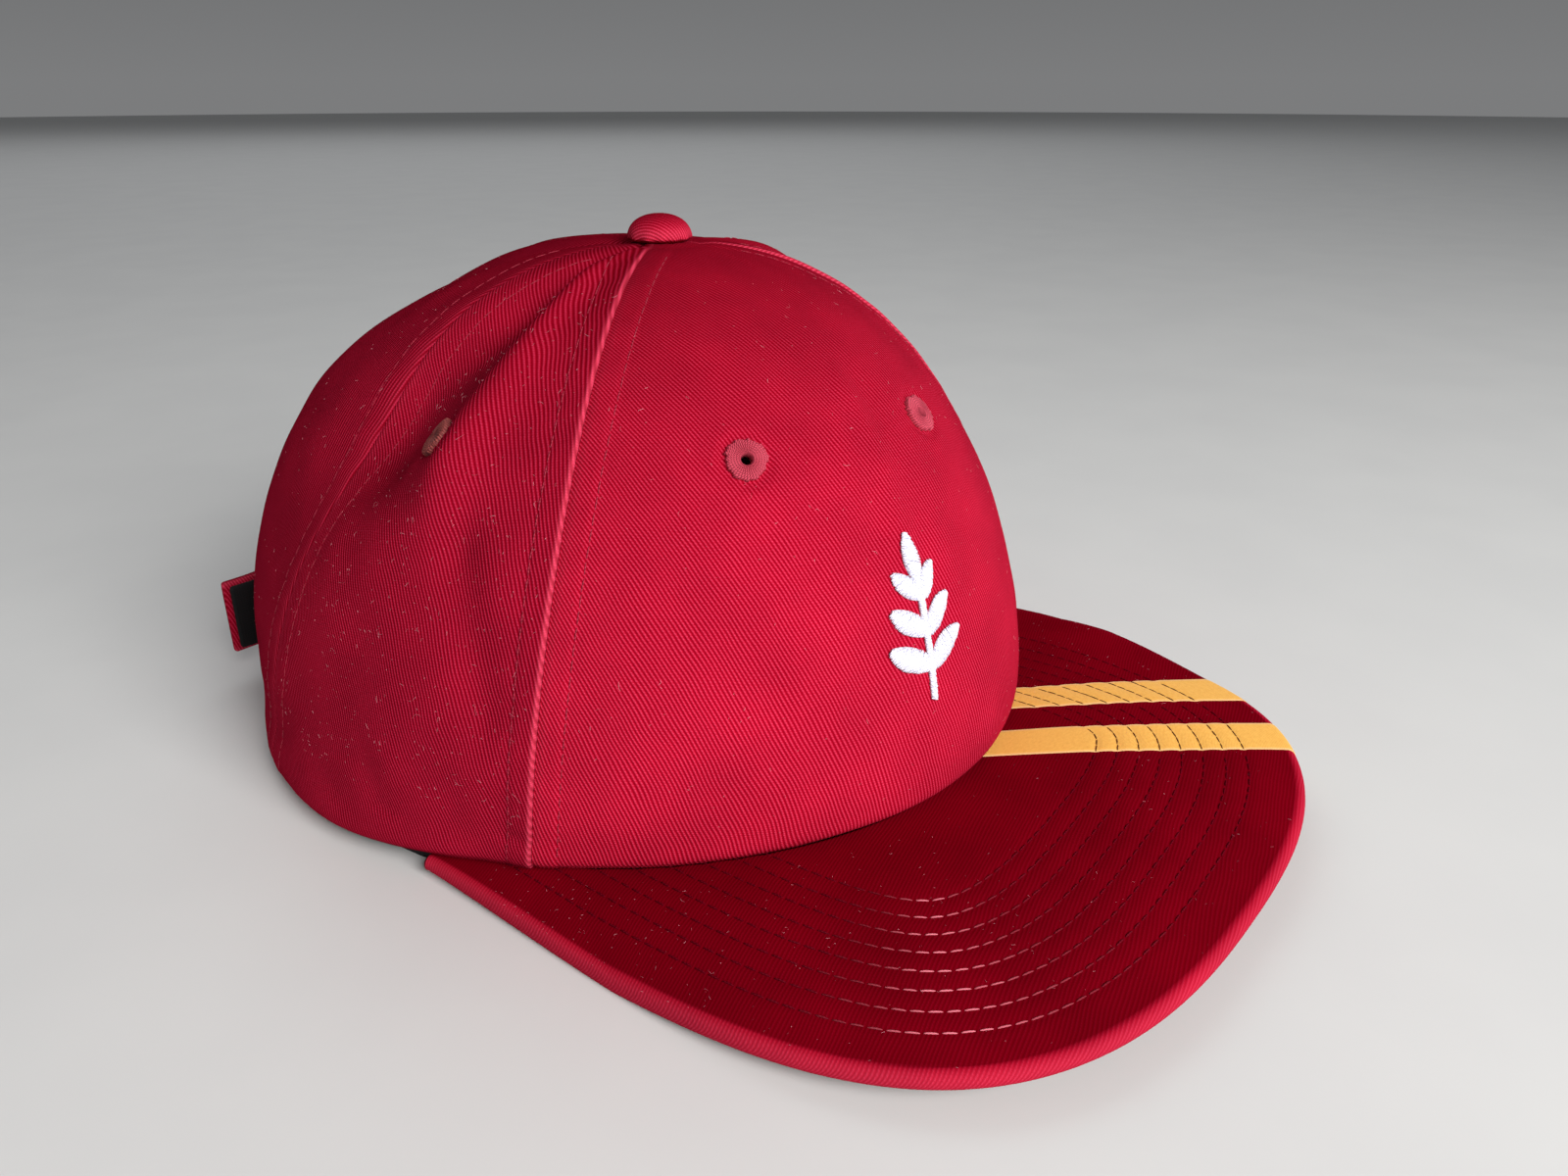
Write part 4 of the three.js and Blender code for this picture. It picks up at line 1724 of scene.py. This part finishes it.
@dataclass(frozen=True)
class PeakShape:
    """The peak's plan and upper face."""

    length: float = 60.4
    half_width: float = 90
    thickness: float = 3.4
    end_angle: float = 72
    tip_height: float = 6.8
    corner_height: float = 0.95
    left_rise: float = 7
    left_lift: float = 5.8
    squareness: float = 4.08
    fullness: float = 2.68
    waist: float = 0.16
    sidestep: float = 1.6
    overhang: float = 2.2
    arch: float = 1.2
    row_inset: float = 10.2
    row_inset_slope: float = 0.03
    row_pitch: float = 4.45
    row_pitch_slope: float = 0.006
    row_count: int = 8
    edge_steps: int = 721
    batch: int = 4000

    def edge(self, turn: Array) -> Array:
        """The middle of the peak's edge at each turn, from -90 at the right to 90.

        Args:
            turn: Degrees from -90 at the right end to 90.

        Returns:
            One place for each turn.
        """
        end = CROWN.smooth(self.end_angle, -1)
        forward = np.abs(np.cos(np.radians(turn)))
        y = end[1] - (end[1] + CROWN.front_length + self.length) * forward
        bow = np.maximum(1 - forward**self.squareness, 0) ** (1 / self.fullness)
        narrow = 1 - (1 - (end[0] + self.overhang) / self.half_width) * (1 - forward) ** 2
        x = np.sign(turn) * self.half_width * bow * (narrow - self.waist * forward * (1 - forward))
        x = x + self.sidestep * np.sqrt(forward)
        droop = np.clip((1 - forward) / 0.6, 0, 1) ** 1.5
        end_rise = end[2] - GAP - self.thickness / 2 - self.corner_height
        z = self.tip_height + (self.corner_height - self.tip_height) * droop
        z = z + end_rise * np.clip(1 - forward / 0.7, 0, 1) ** 1.5
        left = self.left_rise * np.maximum(np.sin(np.radians(turn)), 0) * np.clip(forward * 2, 0, 1)
        lift = self.left_lift * smooth_step((turn - 42) / 28) * smooth_step((90 - turn) / 14)
        return np.stack([x, y, z + left + lift], -1)

    def start(self, turn: Array) -> Array:
        """The top of the peak under the crown's rim at each turn.

        Args:
            turn: Degrees from -90 at the right end to 90.

        Returns:
            One place for each turn.
        """
        angle = np.asarray(turn) / 90 * self.end_angle
        place = CROWN.smooth(angle, -1)
        place = place + unit(place * np.array([-1, -1, 0])) * CROWN.wall
        place[..., 2] = CROWN.rim(angle) - GAP
        return place

    def top(self, turn: Array, out: Array) -> Array:
        """Places on the upper face, out from 0 at the rim to 1 at the edge.

        Args:
            turn: Degrees from -90 at the right end to 90.
            out: From 0 at the rim to 1 at the edge.

        Returns:
            One place for each pair.
        """
        start, edge = self.start(turn), self.edge(turn)
        edge = edge + UP * self.thickness / 2
        place = start + (edge - start) * out[..., None]
        place[..., 2] += self.arch * np.sin(np.pi * out) * np.cos(np.radians(turn))
        return place

    def reach(self, turn: Array) -> Array:
        """The peak's width from the rim to the edge at each turn."""
        return np.linalg.norm((self.edge(turn) - self.start(turn))[..., :2], axis=-1)

    def inset(self, points: Array) -> Array:
        """How far each place lies in from the peak's edge.

        Args:
            points: Places on the cap.

        Returns:
            Millimetres from the edge.
        """
        edge = self.edge(np.linspace(-90, 90, self.edge_steps))[:, :2]
        flat = points[..., :2].reshape(-1, 2)
        found = np.empty(len(flat))
        for low in range(0, len(flat), self.batch):
            batch = slice(low, low + self.batch)
            found[batch] = np.sqrt(((flat[batch, None] - edge[None]) ** 2).sum(-1).min(1))
        return found.reshape(points.shape[:-1])

    def row_at(self, index: Array | float, x: Array) -> Array:
        """How far in from the edge a stitch row runs, which changes a little across the peak."""
        first = self.row_inset + self.row_inset_slope * x
        return first + index * (self.row_pitch + self.row_pitch_slope * x)

    def relief(self, points: Array) -> Array:
        """The sewn channels and the cloth's unevenness at each place of the upper face.

        Args:
            points: Places on the cap.

        Returns:
            Heights in millimetres.
        """
        x, y = points[..., 0], points[..., 1]
        inset = self.inset(points)
        pitch = self.row_pitch + self.row_pitch_slope * x
        order = (inset - self.row_at(0, x)) / pitch
        nearest = np.clip(np.round(order), 0, self.row_count - 1)
        channel = -0.2 * bell((order - nearest) * pitch, 0.8)
        return (channel + ripple(x, y, 30, 31) * 0.12) * smooth_step(inset / 6)


PEAK = PeakShape()


@dataclass(frozen=True)
class StripePlan:
    """The two bands across the peak."""

    heading: float = 42.2
    width: float = 11.1
    offsets: tuple[float, float] = (-30.2, -52.0)

    def across(self) -> Array:
        """The direction across the bands, in plan."""
        turn = math.radians(self.heading)
        return np.array([math.cos(turn), math.sin(turn)])

    def holds(self, points: Array) -> Array:
        """Which places lie on a band."""
        away = points[..., :2] @ self.across()
        return np.min([np.abs(away - offset) for offset in self.offsets], axis=0) < self.width / 2


STRIPES = StripePlan()


@dataclass
class Peak:
    """The covered peak, its stitch rows and its bands."""

    columns: int = 260
    top_rows: int = 92
    round_rows: int = 14
    under_rows: int = 60
    batch: int = 200
    row_lifts: tuple[float, float] = (0.06, 0.2)
    band_columns: int = 15
    band_steps: int = 110
    band_swings: int = 14
    band_end: float = -1.2
    band_rise: tuple[float, float] = (0.07, 0.08)
    band_depth: float = 0.12
    # A painted highlight along the peak's edge; rim_light and bright_from set where the painted shade eases
    # off at the rim.
    rim_wear: float = 0.25
    rim_light: tuple[float, float] = (0.9, 1.3)
    bright_from: tuple[float, float] = (-40, 15)
    shine_heading: tuple[float, float] = (0.637, -0.771)
    shine_width: tuple[float, float] = (15, 26)

    def turns(self) -> Array:
        """Steps across the peak, close together at its two ends."""
        share = np.linspace(-1, 1, self.columns)
        return 90 * np.sign(share) * (1 - (1 - np.abs(share)) ** 1.25)

    def body(self, material: bpy.types.Material) -> bpy.types.Object:
        """Make and dress the covered board.

        Args:
            material: Its cloth.

        Returns:
            The finished peak.
        """
        turn = self.turns()[:, None]
        half = PEAK.thickness / 2
        reach = PEAK.reach(turn)
        flat = np.maximum(1 - half / reach, 0.02)
        top = flat * np.linspace(0, 1, self.top_rows)[None, :]
        swing = np.linspace(math.pi / 2, -math.pi / 2, self.round_rows + 2)[1:-1][None, :]
        round_out = flat + (1 - flat) * np.cos(swing)
        under = flat * np.linspace(1, 0, self.under_rows)[None, :]
        out = np.concatenate([top, round_out, under], 1)
        bent = half * (1 - np.sin(swing)) + 0 * round_out
        drop = np.concatenate([0 * top, bent, 2 * half + 0 * under], 1)
        points = PEAK.top(np.broadcast_to(turn, out.shape), out)
        inset = PEAK.inset(points)
        sign = np.repeat([1.0, 0.0, -1.0], [self.top_rows, self.round_rows, self.under_rows])
        points[..., 2] += PEAK.relief(points) * sign - drop
        steps = np.linalg.norm(np.diff(points, axis=1), axis=-1)
        run = np.concatenate([np.zeros((len(turn), 1)), np.cumsum(steps, 1)], 1)
        start, edge = PEAK.start(turn[:, 0]), PEAK.edge(turn[:, 0])
        direction = unit((edge - start)[:, :2])
        weave = start[:, None, :2] + direction[:, None] * run[..., None]
        # Painted highlight along the peak's edge, in the paler colour.
        obj = ring_body("peak_cover", points, weave, self.rim_wear * bell(inset, 1.2))
        dress(obj, material, "peak_twill", Shading.SMOOTH, "peak")
        self.set_rim_light(obj)
        return obj

    def set_rim_light(self, obj: bpy.types.Object) -> None:
        """Set the painted shade by the distance from the edge: the rim before the bands is painted lighter,
        a painted highlight, and the rim beyond them is painted dark.

        Args:
            obj: The covered board.
        """
        places = get_places(obj) / MM - AXIS
        inner = smooth_step((PEAK.inset(places) - self.rim_light[0]) / self.rim_light[1])
        beyond = places[:, :2] @ STRIPES.across()
        far = smooth_step((beyond - self.bright_from[0]) / self.bright_from[1])
        # Painted shade over the top, half of it on the rim before the bands as a painted highlight, and all
        # of it on the rim beyond.
        painted_shade = np.maximum(inner, 0.5 + 0.5 * far)
        obj.data.attributes[PAINTED_SHADE].data.foreach_set("value", painted_shade.astype(np.float32))

    def row(self, index: int) -> Array:
        """One stitch row's places in plan, from right to left.

        Args:
            index: Which row, counted from the edge.

        Returns:
            Its places over the upper face.
        """
        turn = np.linspace(-88, 88, 900)
        edge = PEAK.edge(turn)[:, :2]
        along = unit(np.gradient(edge, axis=0))
        inward = np.stack([-along[:, 1], along[:, 0]], -1)
        moved = edge
        for _ in range(3):
            inset = PEAK.row_at(index, moved[:, 0])
            moved = edge + inward * inset[:, None]
        clear = PEAK.inset(moved) > inset - 0.3
        return moved[clear]

    def on_top(self, plan: Array) -> tuple[Array, Array]:
        """The upper face's places over a plan, and which lie on the peak.

        Args:
            plan: Places in plan.

        Returns:
            The places and whether each is between the rim and the edge.
        """
        turn = np.linspace(-90, 90, PEAK.edge_steps)
        out = np.linspace(0, 1, 121)
        grid_turn, grid_out = np.meshgrid(turn, out, indexing="ij")
        face = PEAK.top(grid_turn, grid_out)
        spots = face.reshape(-1, 3)
        height = np.empty(len(plan))
        away = np.empty(len(plan))
        for low in range(0, len(plan), self.batch):
            batch = slice(low, low + self.batch)
            gaps = ((plan[batch, None] - spots[None, :, :2]) ** 2).sum(-1)
            height[batch] = spots[gaps.argmin(1), 2]
            away[batch] = np.sqrt(gaps.min(1))
        return np.concatenate([plan, height[:, None]], 1), away < 1.2

    def rows(self, finishes: Finishes) -> None:
        """Sew the rows on both faces.

        Args:
            finishes: The cap's materials.
        """
        plain, dark, under = [], [], []
        plain_lift, dark_lift = self.row_lifts
        for index in range(PEAK.row_count):
            points, kept = self.on_top(self.row(index))
            points = points[kept]
            relief = PEAK.relief(points)
            points[:, 2] += relief
            banded = STRIPES.holds(points)
            breaks = np.flatnonzero(np.diff(banded.astype(int))) + 1
            for part, on_band in zip(np.split(points, breaks), np.split(banded, breaks)):
                if len(part) < 4:
                    continue
                rows, lift = (dark, dark_lift) if on_band[0] else (plain, plain_lift)
                rows.append((part + UP * lift, np.broadcast_to(UP, part.shape)))
            below = points - UP * (PEAK.thickness - 0.02)
            below[:, 2] -= 2 * relief
            under.append((below, np.broadcast_to(-UP, below.shape)))
        for name, paths, pitch, length, width, material in (
            ("peak_stitches", plain, 3.0, 2.5, 0.36, finishes.row_thread),
            ("peak_stitches_on_bands", dark, 2.6, 2.6, 0.26, finishes.dark_thread),
            ("peak_stitches_under", under, 3.0, 2.5, 0.34, finishes.thread),
        ):
            obj = stitches_along(name, paths, pitch, length, width, 41)
            # Painted highlight on the stitches, stored as their share of the paler colour.
            set_wear_and_highlight(obj, self.shine(obj))
            dress(obj, material, "thread", Shading.SMOOTH)

    def shine(self, obj: bpy.types.Object) -> Array:
        """How brightly each stitch shines, by the way that it runs.

        Args:
            obj: The stitches.

        Returns:
            A share for each vertex.
        """
        stitches = get_places(obj).reshape(-1, len(THREAD_POINTS), 3)
        ends = THREAD_POINTS[:, 0].argmin(), THREAD_POINTS[:, 0].argmax()
        along = unit((stitches[:, ends[1]] - stitches[:, ends[0]])[:, :2])
        x, y = self.shine_heading
        off = np.degrees(np.arctan2(along @ np.array([-y, x]), along @ np.array([x, y])))
        off = (off + 90) % 180 - 90
        before, after = (bell(off, width) for width in self.shine_width)
        return np.repeat(np.where(off < 0, before, after), len(THREAD_POINTS))

    def band(self, index: int, finishes: Finishes) -> bpy.types.Object:
        """Make and dress one band, from the rim over the edge.

        Args:
            index: Which band.
            finishes: The cap's materials.

        Returns:
            The finished band.
        """
        half = PEAK.thickness / 2
        across = np.linspace(-0.5, 0.5, self.band_columns) * STRIPES.width
        turn = np.linspace(-89, 89, 3000)
        start, edge = PEAK.start(turn)[:, :2], PEAK.edge(turn)[:, :2]
        normal = STRIPES.across()
        flat = 1 - half / PEAK.reach(turn)
        swings = np.linspace(math.pi / 2, self.band_end, self.band_swings)
        outer, inner, wear = [], [], []
        for aside in across:
            want = STRIPES.offsets[index] + aside
            out = (want - start @ normal) / ((edge - start) @ normal)
            inside = np.flatnonzero((out > 0.0) & (out < flat))
            runs = np.split(inside, np.flatnonzero(np.diff(inside) > 1) + 1)
            held = max(runs, key=len)
            first, last = sorted((held[0], held[-1]), key=lambda spot: out[spot])
            at = np.linspace(turn[first], turn[last], self.band_steps)
            top = PEAK.top(at, np.interp(at, turn[held], out[held]))
            top[:, 2] += PEAK.relief(top)
            end_turn = np.full(len(swings), at[-1])
            end_flat = 1 - half / PEAK.reach(end_turn)
            over = PEAK.top(end_turn, end_flat + (1 - end_flat) * np.cos(swings))
            over[:, 2] -= half * (1 - np.sin(swings))
            way = unit((PEAK.edge(end_turn) - PEAK.start(end_turn)) * np.array([1, 1, 0]))
            facing = way * np.cos(swings)[:, None] + UP * np.sin(swings)[:, None]
            line = np.concatenate([top[:-1], over])
            face = np.concatenate([np.broadcast_to(UP, top[:-1].shape), facing])
            near = smooth_step((STRIPES.width / 2 - abs(aside)) / 0.8)
            outer.append(line + face * (self.band_rise[0] + self.band_rise[1] * near))
            inner.append(line - face * self.band_depth)
            # Painted highlight along the band's long edges.
            wear.append(np.full(len(line), 0.8 * (1 - near)))
        outer, inner, wear = (np.stack(part, 1) for part in (outer, inner, wear))
        run = np.arange(len(outer))[:, None] * 0.9
        weave = np.stack(np.broadcast_arrays(across[None, :], run), -1)
        node = f"peak_stripe_{index + 1}"
        obj = cloth_body(f"{node}_cloth", outer, inner, weave, wear)
        edit(obj, lambda: bpy.ops.mesh.normals_make_consistent(inside=False))
        dress(obj, finishes.stripe, "stripe", Shading.CREASED, node)
        return obj

    def build(self, finishes: Finishes) -> None:
        """Make and dress the peak.

        Args:
            finishes: The cap's materials.
        """
        self.body(finishes.peak)
        self.rows(finishes)
        for index in range(len(STRIPES.offsets)):
            self.band(index, finishes)


# Embroidered sprig


@dataclass(frozen=True)
class Leaf:
    """One leaf of the sprig, from the stem outward."""

    up: float
    length: float
    width: float
    tilt: float


@dataclass
class Sprig:
    """A plain leafy sprig in raised satin stitch."""

    angle: float = -7
    level: float = 0.245
    stem: float = 26
    stem_width: float = 1.7
    leaves: tuple[Leaf, ...] = (
        Leaf(-9, 11, 5.2, 58), Leaf(-9, 11, 5.2, -58), Leaf(-2, 10, 4.8, 52), Leaf(-2, 10, 4.8, -52),
        Leaf(5, 8.4, 4.2, 44), Leaf(5, 8.4, 4.2, -44), Leaf(8, 10, 4.6, 0),
    )
    pitch: float = 0.3
    thread: float = 0.42

    def place(self, spot: Array, out: Array | float) -> Array:
        """Places over the front panel at spots across and up from the sprig's middle.

        Args:
            spot: Millimetres across and up.
            out: How far each lies out from the panel.

        Returns:
            One place for each spot.
        """
        here = CROWN.smooth(self.angle, self.level)
        per_degree = np.linalg.norm(CROWN.smooth(self.angle + 1, self.level) - here)
        per_level = np.linalg.norm(CROWN.smooth(self.angle, self.level + 0.01) - here) * 100
        angle, level = self.angle + spot[..., 0] / per_degree, self.level + spot[..., 1] / per_level
        return PANELS[0].surface(angle, level, out)

    def fill(
        self, start: Array, end: Array, half_width: Callable[[Array], Array], slant: float
    ) -> tuple[Array, Array]:
        """The two ends of each satin stitch across a shape.

        Args:
            start: Where the shape's middle line begins.
            end: Where it ends.
            half_width: The shape's half width at each share of the line.
            slant: How far the stitches lean along the line.

        Returns:
            The stitches' right and left ends.
        """
        along = end - start
        length = np.linalg.norm(along)
        share = np.arange(self.pitch / 2, length, self.pitch) / length
        side = np.array([-along[1], along[0]]) / length
        middle = start + along * share[:, None]
        half = half_width(share)[:, None]
        lean = along / length * slant * half
        return middle - side * half - lean, middle + side * half + lean

    def build(self, material: bpy.types.Material) -> None:
        """Make and dress the sprig.

        Args:
            material: Its thread.
        """
        rng = np.random.default_rng(52)
        rights, lefts = [], []
        low, high = np.array([0, -self.stem / 2 - 3]), np.array([0, self.stem / 2 - 3])
        shapes = [(low, high, lambda s: np.full(s.shape, self.stem_width / 2), 0.6)]
        for leaf in self.leaves:
            turn = math.radians(leaf.tilt)
            start = np.array([0, leaf.up])
            end = start + np.array([math.sin(turn), math.cos(turn)]) * leaf.length
            wide = lambda s, w=leaf.width: np.maximum(0.2, w / 2 * np.sin(np.pi * (0.06 + 0.9 * s)) ** 0.8)
            shapes.append((start, end, wide, 0.35))
        for start, end, half_width, slant in shapes:
            right, left = self.fill(start, end, half_width, slant)
            rights.append(right)
            lefts.append(left)
        right, left = np.concatenate(rights), np.concatenate(lefts)
        right = right + rng.normal(0, 0.07, right.shape)
        left = left + rng.normal(0, 0.07, left.shape)
        lift = GAP + rng.uniform(0, 0.08, len(right))
        starts, ends = self.place(right, lift), self.place(left, lift)
        middle = self.place((right + left) / 2, lift)
        up = CROWN.normal(np.full(len(right), self.angle), np.full(len(right), self.level))
        size = np.linalg.norm(ends - starts, axis=1)
        arch = 0.25 + 0.09 * size
        sizes = (size + 0.15, self.thread, arch)
        obj = lay_threads("sprig_stitches", middle, ends - starts, up, *sizes, flat=0.9)
        dress(obj, material, "motif", Shading.SMOOTH, "emblem")
        self.pad(shapes, material)

    def pad(
        self,
        shapes: list[tuple[Array, Array, Callable[[Array], Array], float]],
        material: bpy.types.Material,
    ) -> None:
        """Lay the padding under the stitches.

        Args:
            shapes: Each shape's middle line and half width.
            material: Its thread.
        """
        for number, (start, end, half_width, _) in enumerate(shapes):
            share = np.linspace(0.02, 0.98, 22)
            along = end - start
            side = np.array([-along[1], along[0]]) / np.linalg.norm(along)
            aside = np.linspace(-1, 1, 9)
            half = half_width(share)[:, None]
            spot = start + along * share[:, None, None] + side * (half * aside)[..., None] * 0.93
            swell = (1 - aside**2) ** 0.5 * (0.2 + 0.12 * half)
            outer = self.place(spot, GAP + swell)
            inner = self.place(spot, np.full(swell.shape, 0.05))
            obj = cloth_body(f"sprig_pad_{number + 1}", outer, inner, spot)
            edit(obj, lambda: bpy.ops.mesh.normals_make_consistent(inside=False))
            dress(obj, material, "motif", Shading.SMOOTH)


# Lint


@dataclass
class Lint:
    """Short pale fibres caught on the cloth."""

    on_panel: tuple[int, ...] = (260, 700, 200, 360, 200)
    on_peak: int = 520
    thread: float = 0.045
    peak_share: float = 0.6
    lowest: float = 14
    below_top: float = 2
    seed: int = 61

    def lay(
        self, points: Array, normals: Array, rng: np.random.Generator, scale: float = 1.0
    ) -> tuple[Array, ...]:
        """Random directions and sizes for fibres.

        Args:
            points: Where the fibres lie.
            normals: The outward direction at each.
            rng: The source of the random draws.
            scale: How long they are beside the usual length.

        Returns:
            Middles, directions, outward directions, lengths and bows.
        """
        count = len(points)
        turn = unit(rng.normal(0, 1, (count, 3)))
        along = unit(turn - normals * (turn * normals).sum(1, keepdims=True) * 0.85)
        length = (rng.gamma(0.9, 0.42, count) + 0.22) * scale
        middle = points + normals * rng.uniform(0.02, 0.12, (count, 1))
        return middle, along, normals, length, length * rng.normal(0, 0.18, count)

    def build(self, finishes: Finishes) -> None:
        """Scatter and dress the fibres.

        Args:
            finishes: The cap's materials.
        """
        rng = np.random.default_rng(self.seed)
        parts = []
        for panel, count in zip(PANELS, self.on_panel):
            height, part = rng.uniform(0.03, 0.97, (2, count))
            low, high = panel.angles(np.zeros(count))
            span = CROWN.height - self.lowest - self.below_top
            level = CROWN.level_at((low + high) / 2, self.lowest + height * span)
            low, high = panel.angles(level)
            angle = low + (high - low) * part
            points = panel.surface(angle, level)
            aside = np.abs(ARCH.across(points))
            kept = (points[:, 1] <= ARCH.front_limit) | (aside >= ARCH.half_width)
            kept |= points[:, 2] >= ARCH.height + 2
            if panel.name.startswith("back"):
                kept &= ARCH.away(points) > 4
            parts.append(self.lay(points[kept], CROWN.normal(angle, level)[kept], rng))
        turn = rng.uniform(-80, 80, self.on_peak)
        points = PEAK.top(turn, rng.uniform(0.1, 0.97, self.on_peak))
        parts.append(self.lay(points, np.broadcast_to(UP, points.shape), rng, self.peak_share))
        middle, along, up, length, bend = (np.concatenate(column) for column in zip(*parts))
        sizes = (length, self.thread, 0.0, bend)
        obj = lay_threads("lint_fibres", middle, along, up, *sizes, flat=1.0)
        dress(obj, finishes.lint, "thread", Shading.SMOOTH)


# Stage


@dataclass
class Studio:
    """The pale floor, the soft light and the camera."""

    eye: tuple[float, float, float] = (-0.18838, -0.17741, 0.14836)
    tilt: tuple[float, float, float] = (66.616, 0.0, -50.445)
    lens: float = 27.045
    sensor: float = 36.0
    horizon: Colour = (0.2, 0.202, 0.205)
    zenith: Colour = (0.13, 0.132, 0.135)
    horizon_height: float = 0.16
    cap_middle: float = 0.05
    floor_radius: float = 6

    def lamp(
        self,
        name: str,
        azimuth: float,
        elevation: float,
        away: float,
        size: tuple[float, float],
        power: float,
        tint: Colour,
    ) -> None:
        """Hang a soft panel light that faces the cap.

        Args:
            name: The light's name.
            azimuth: Degrees from the front, positive toward the wearer's left.
            elevation: Degrees above the floor.
            away: Metres from the cap.
            size: Its width and height in metres.
            power: Its power in watts.
            tint: Its colour.
        """
        turn, rise = math.radians(azimuth), math.radians(elevation)
        flat, middle = math.cos(rise), Vector((0, 0, self.cap_middle))
        way = Vector((math.sin(turn) * flat, -math.cos(turn) * flat, math.sin(rise)))
        place = way * away + middle
        aim = (middle - place).to_track_quat("-Z", "Y").to_euler()
        deselect()
        bpy.ops.object.light_add(type="AREA", location=place, rotation=aim)
        light = bpy.context.active_object
        light.name = name
        light.data.shape = "RECTANGLE"
        light.data.size, light.data.size_y = size
        light.data.energy = power
        light.data.color = tint

    def floor(self) -> None:
        """Lay the floor."""
        deselect()
        bpy.ops.mesh.primitive_circle_add(vertices=128, radius=self.floor_radius, fill_type="NGON")
        floor = bpy.context.active_object
        floor.name = "floor"
        floor.data.materials.append(Tabletop().material())

    def build(self) -> None:
        """Set up the stage."""
        self.floor()
        self.lamp("window", -15, 29, 1.3, (0.9, 0.6), 26, (1.0, 0.985, 0.965))
        self.lamp("room", 145, 46, 3.4, (3.0, 3.0), 30, (0.97, 0.98, 1.0))
        scene = bpy.context.scene
        world = bpy.data.worlds.new("soft_room")
        world.use_nodes = True
        nodes, links = world.node_tree.nodes, world.node_tree.links
        split = nodes.new("ShaderNodeSeparateXYZ")
        links.new(nodes.new("ShaderNodeTexCoord").outputs["Generated"], split.inputs[0])
        ramp = nodes.new("ShaderNodeValToRGB")
        ramp.color_ramp.elements[0].color = (*self.horizon, 1)
        ramp.color_ramp.elements[1].color = (*self.zenith, 1)
        ramp.color_ramp.elements[1].position = self.horizon_height
        links.new(split.outputs["Z"], ramp.inputs[0])
        links.new(ramp.outputs[0], nodes["Background"].inputs["Color"])
        scene.world = world
        scene.view_settings.view_transform = "Standard"
        deselect()
        turn = Euler([math.radians(t) for t in self.tilt])
        bpy.ops.object.camera_add(location=self.eye, rotation=turn)
        camera = bpy.context.active_object
        camera.name = "camera"
        camera.data.lens = self.lens
        camera.data.sensor_width = self.sensor
        camera.data.clip_start = 0.01
        scene.camera = camera


def main() -> None:
    """Build the whole cap and its stage."""
    logging.basicConfig(level=logging.INFO, format="%(message)s")
    Studio().build()
    finishes = make_finishes()
    Crown().build(finishes)
    Sweatband().build(finishes)
    STRAP.build(finishes.back, "twill")
    TAB.build(finishes.back, "twill")
    TAPE.build(finishes.lining, "lining")
    strap_rows = stitches_along("strap_stitches", STRAP.rows(2.6), 3.0, 2.6, 0.24, 23)
    dress(strap_rows, finishes.thread, "thread", Shading.SMOOTH)
    Peak().build(finishes)
    Sprig().build(finishes.motif)
    Lint().build(finishes)


if __name__ == "__main__":
    main()
